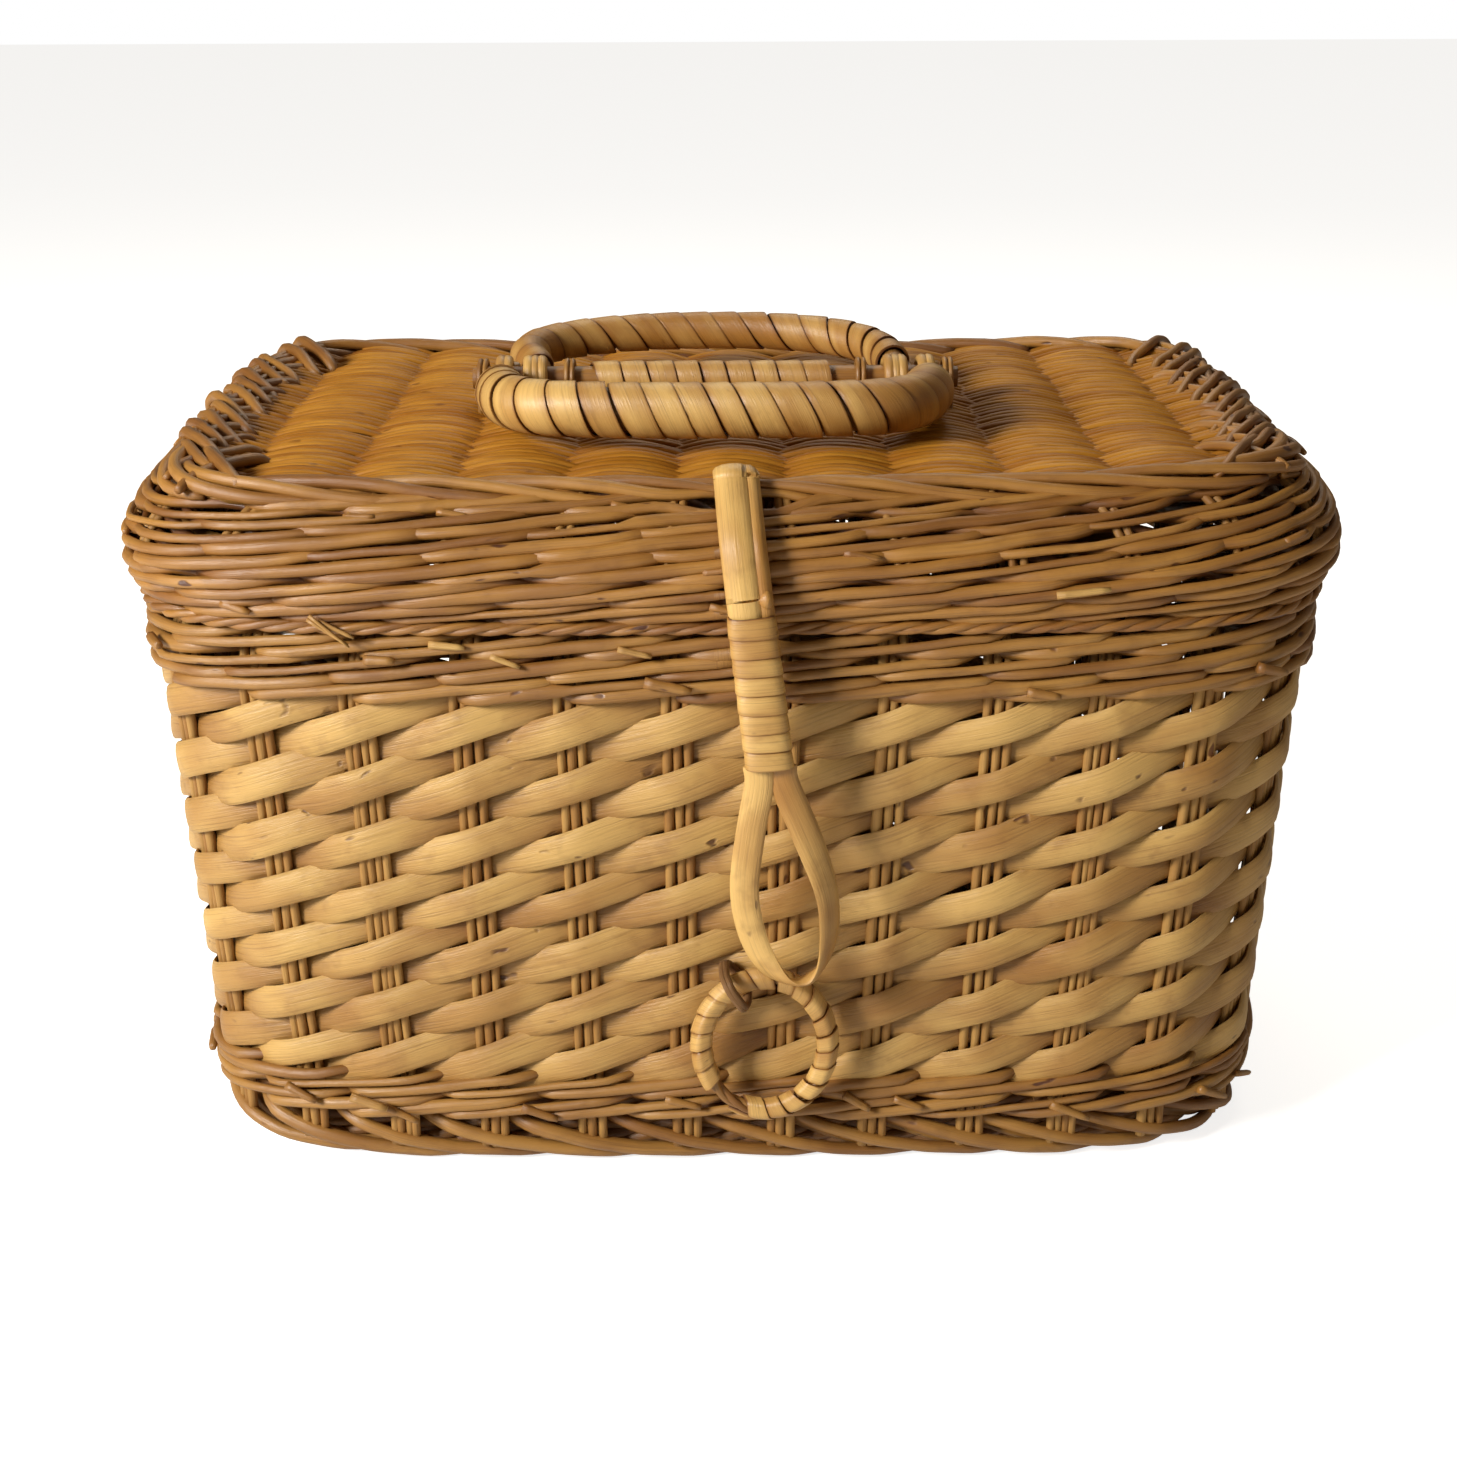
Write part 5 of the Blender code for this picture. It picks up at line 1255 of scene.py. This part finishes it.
angle = np.linspace(0, 2 * math.pi, 96, endpoint=False)
bundle = newBundle()
for k in range(3):
    twist = 5 * angle + 2 * math.pi * k / 3
    outward = np.column_stack([np.cos(angle), np.zeros(96), np.sin(angle)])
    path = ringPoint(angle) + ring["rodGap"] * (np.cos(twist)[:, None] * outward
                                                + np.sin(twist)[:, None] * np.array([0, 1.0, 0]))
    addStrand(bundle, path, outward, ring["rodRadius"], ring["rodRadius"], ovalSection(8),
              toneRow(rng, 96, 0.5, 0.2, 0.2), closed=True)
finishBundle(bundle, "claspRingCore", willow["rod"], "clasp_ring", ["clasp_ring_core"],
             0)
bundle = newBundle()
path = ringPoint(ring["start"] + ring["sweep"] * np.linspace(0, 1, 200))


def ringSection(share, angle):
    value = ring["core"] + 0.00022 * np.cos(5 * angle)
    return value, value


woundStrip(bundle, path, np.array([0.0, 1.0, 0.0]), ringSection, ring["turns"], 0.0010, rng,
           (0.3, 0.4, 0.2), overlap=0.97, sides=20)
finishBundle(bundle, "claspRingWrap", willow["wrap"], "clasp_ring", ["clasp_ring_wrap"],
             42)

low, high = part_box("clasp_ring_tie")
tieMiddle = [(low[k] + high[k]) / 2 for k in range(3)]
ringTie = {"held": math.radians(133), "halfLength": 0.0056, "halfDepth": 0.0088,
           "roundness": 0.55, "radius": 0.0012}
lift = np.array([ring["halfWidth"] * math.cos(ringTie["held"]), 0,
                 ring["halfHeight"] * math.sin(ringTie["held"])])
lift /= np.linalg.norm(lift)
bundle = newBundle()
for k in range(2):
    t = np.linspace(0, 2 * math.pi, 48, endpoint=False)
    along = (ringTie["halfLength"] + 0.0003 * k) * signedPower(np.cos(t), ringTie["roundness"])
    deep = ringTie["halfDepth"] * signedPower(np.sin(t), ringTie["roundness"])
    path = np.array(tieMiddle) + along[:, None] * lift + deep[:, None] * np.array([0, 1.0, 0])
    cross = np.cross(lift, [0, 1.0, 0])
    path += (0.0010 * (k - 0.5) + 0.0005 * np.sin(2 * t)[:, None]) * cross
    addStrand(bundle, path, np.tile(cross, (48, 1)), ringTie["radius"], ringTie["radius"],
              ovalSection(7), toneRow(rng, 48, 0.4, 0.2, 0.1), closed=True)
finishBundle(bundle, "claspRingTie", willow["tie"], "basket", ["clasp_ring_tie"], 0)
print("clasp made")

# Floor, light and camera
stageLook = {"floor": (0.90, 0.90, 0.88), "cameraGlow": 0.80, "world": 0.11,
             "ambient": (1.0, 0.87, 0.68)}


def makeFloor():
    bpy.ops.mesh.primitive_plane_add(size=8.0, location=(0, 1.5, 0))
    floor = bpy.context.object
    floor.name = "paleFloor"
    material = bpy.data.materials.new("paleFloor")
    material.use_nodes = True
    nodes, links = material.node_tree.nodes, material.node_tree.links
    shader = nodes["Principled BSDF"]
    shader.inputs["Base Color"].default_value = (*stageLook["floor"], 1)
    shader.inputs["Roughness"].default_value = 0.9
    shader.inputs["Emission Color"].default_value = (1, 1, 1, 1)
    lightPath = nodes.new("ShaderNodeLightPath")
    glow = nodes.new("ShaderNodeMath")
    glow.operation = "MULTIPLY"
    glow.inputs[1].default_value = stageLook["cameraGlow"]
    links.new(lightPath.outputs["Is Camera Ray"], glow.inputs[0])
    links.new(glow.outputs[0], shader.inputs["Emission Strength"])
    floor.data.materials.append(material)


def makeWorld():
    world = bpy.data.worlds.new("studio")
    bpy.context.scene.world = world
    world.use_nodes = True
    nodes, links = world.node_tree.nodes, world.node_tree.links
    background = nodes["Background"]
    lightPath = nodes.new("ShaderNodeLightPath")
    colour = nodes.new("ShaderNodeMix")
    colour.data_type = "RGBA"
    colour.inputs[6].default_value = (*stageLook["ambient"], 1)
    colour.inputs[7].default_value = (1, 1, 1, 1)
    links.new(lightPath.outputs["Is Camera Ray"], colour.inputs[0])
    links.new(colour.outputs[2], background.inputs["Color"])
    strength = nodes.new("ShaderNodeMapRange")
    strength.inputs["To Min"].default_value = stageLook["world"]
    strength.inputs["To Max"].default_value = 1.0
    links.new(lightPath.outputs["Is Camera Ray"], strength.inputs["Value"])
    links.new(strength.outputs[0], background.inputs["Strength"])


lamps = {
    "keyLeft": {"place": (-1.20, -0.90, 0.85), "aim": (0, 0, 0.12), "size": 0.45, "power": 33.0,
                "colour": (1.0, 0.965, 0.92)},
    "fillRight": {"place": (1.1, -0.7, 0.6), "aim": (0, 0, 0.12), "size": 1.0, "power": 0.8,
                  "colour": (1.0, 0.82, 0.55)},
    "topBack": {"place": (0.1, 0.9, 1.2), "aim": (0, 0.05, 0.2), "size": 0.8, "power": 5.5,
                "colour": (1.0, 0.93, 0.80)},
}


def aimAt(thing, target):
    run = Vector(target) - thing.location
    thing.rotation_euler = run.to_track_quat("-Z", "Y").to_euler()


makeFloor()
makeWorld()
for name, lamp in lamps.items():
    data = bpy.data.lights.new(name, "AREA")
    data.size = lamp["size"]
    data.energy = lamp["power"]
    data.color = lamp["colour"]
    light = bpy.data.objects.new(name, data)
    light.location = lamp["place"]
    bpy.context.scene.collection.objects.link(light)
    aimAt(light, lamp["aim"])

camera = {"place": (0.0, -0.7023, 0.3890), "pitch": 21.5, "roll": 0.22, "lens": 52.5}
cameraData = bpy.data.cameras.new("camera")
cameraData.sensor_width = 36.0
cameraData.lens = camera["lens"]
cameraData.clip_start = 0.01
cameraObject = bpy.data.objects.new("camera", cameraData)
cameraObject.location = camera["place"]
cameraObject.rotation_euler = (math.radians(90 - camera["pitch"]), math.radians(camera["roll"]), 0)
bpy.context.scene.collection.objects.link(cameraObject)
bpy.context.scene.camera = cameraObject
bpy.context.scene.view_settings.view_transform = "Standard"
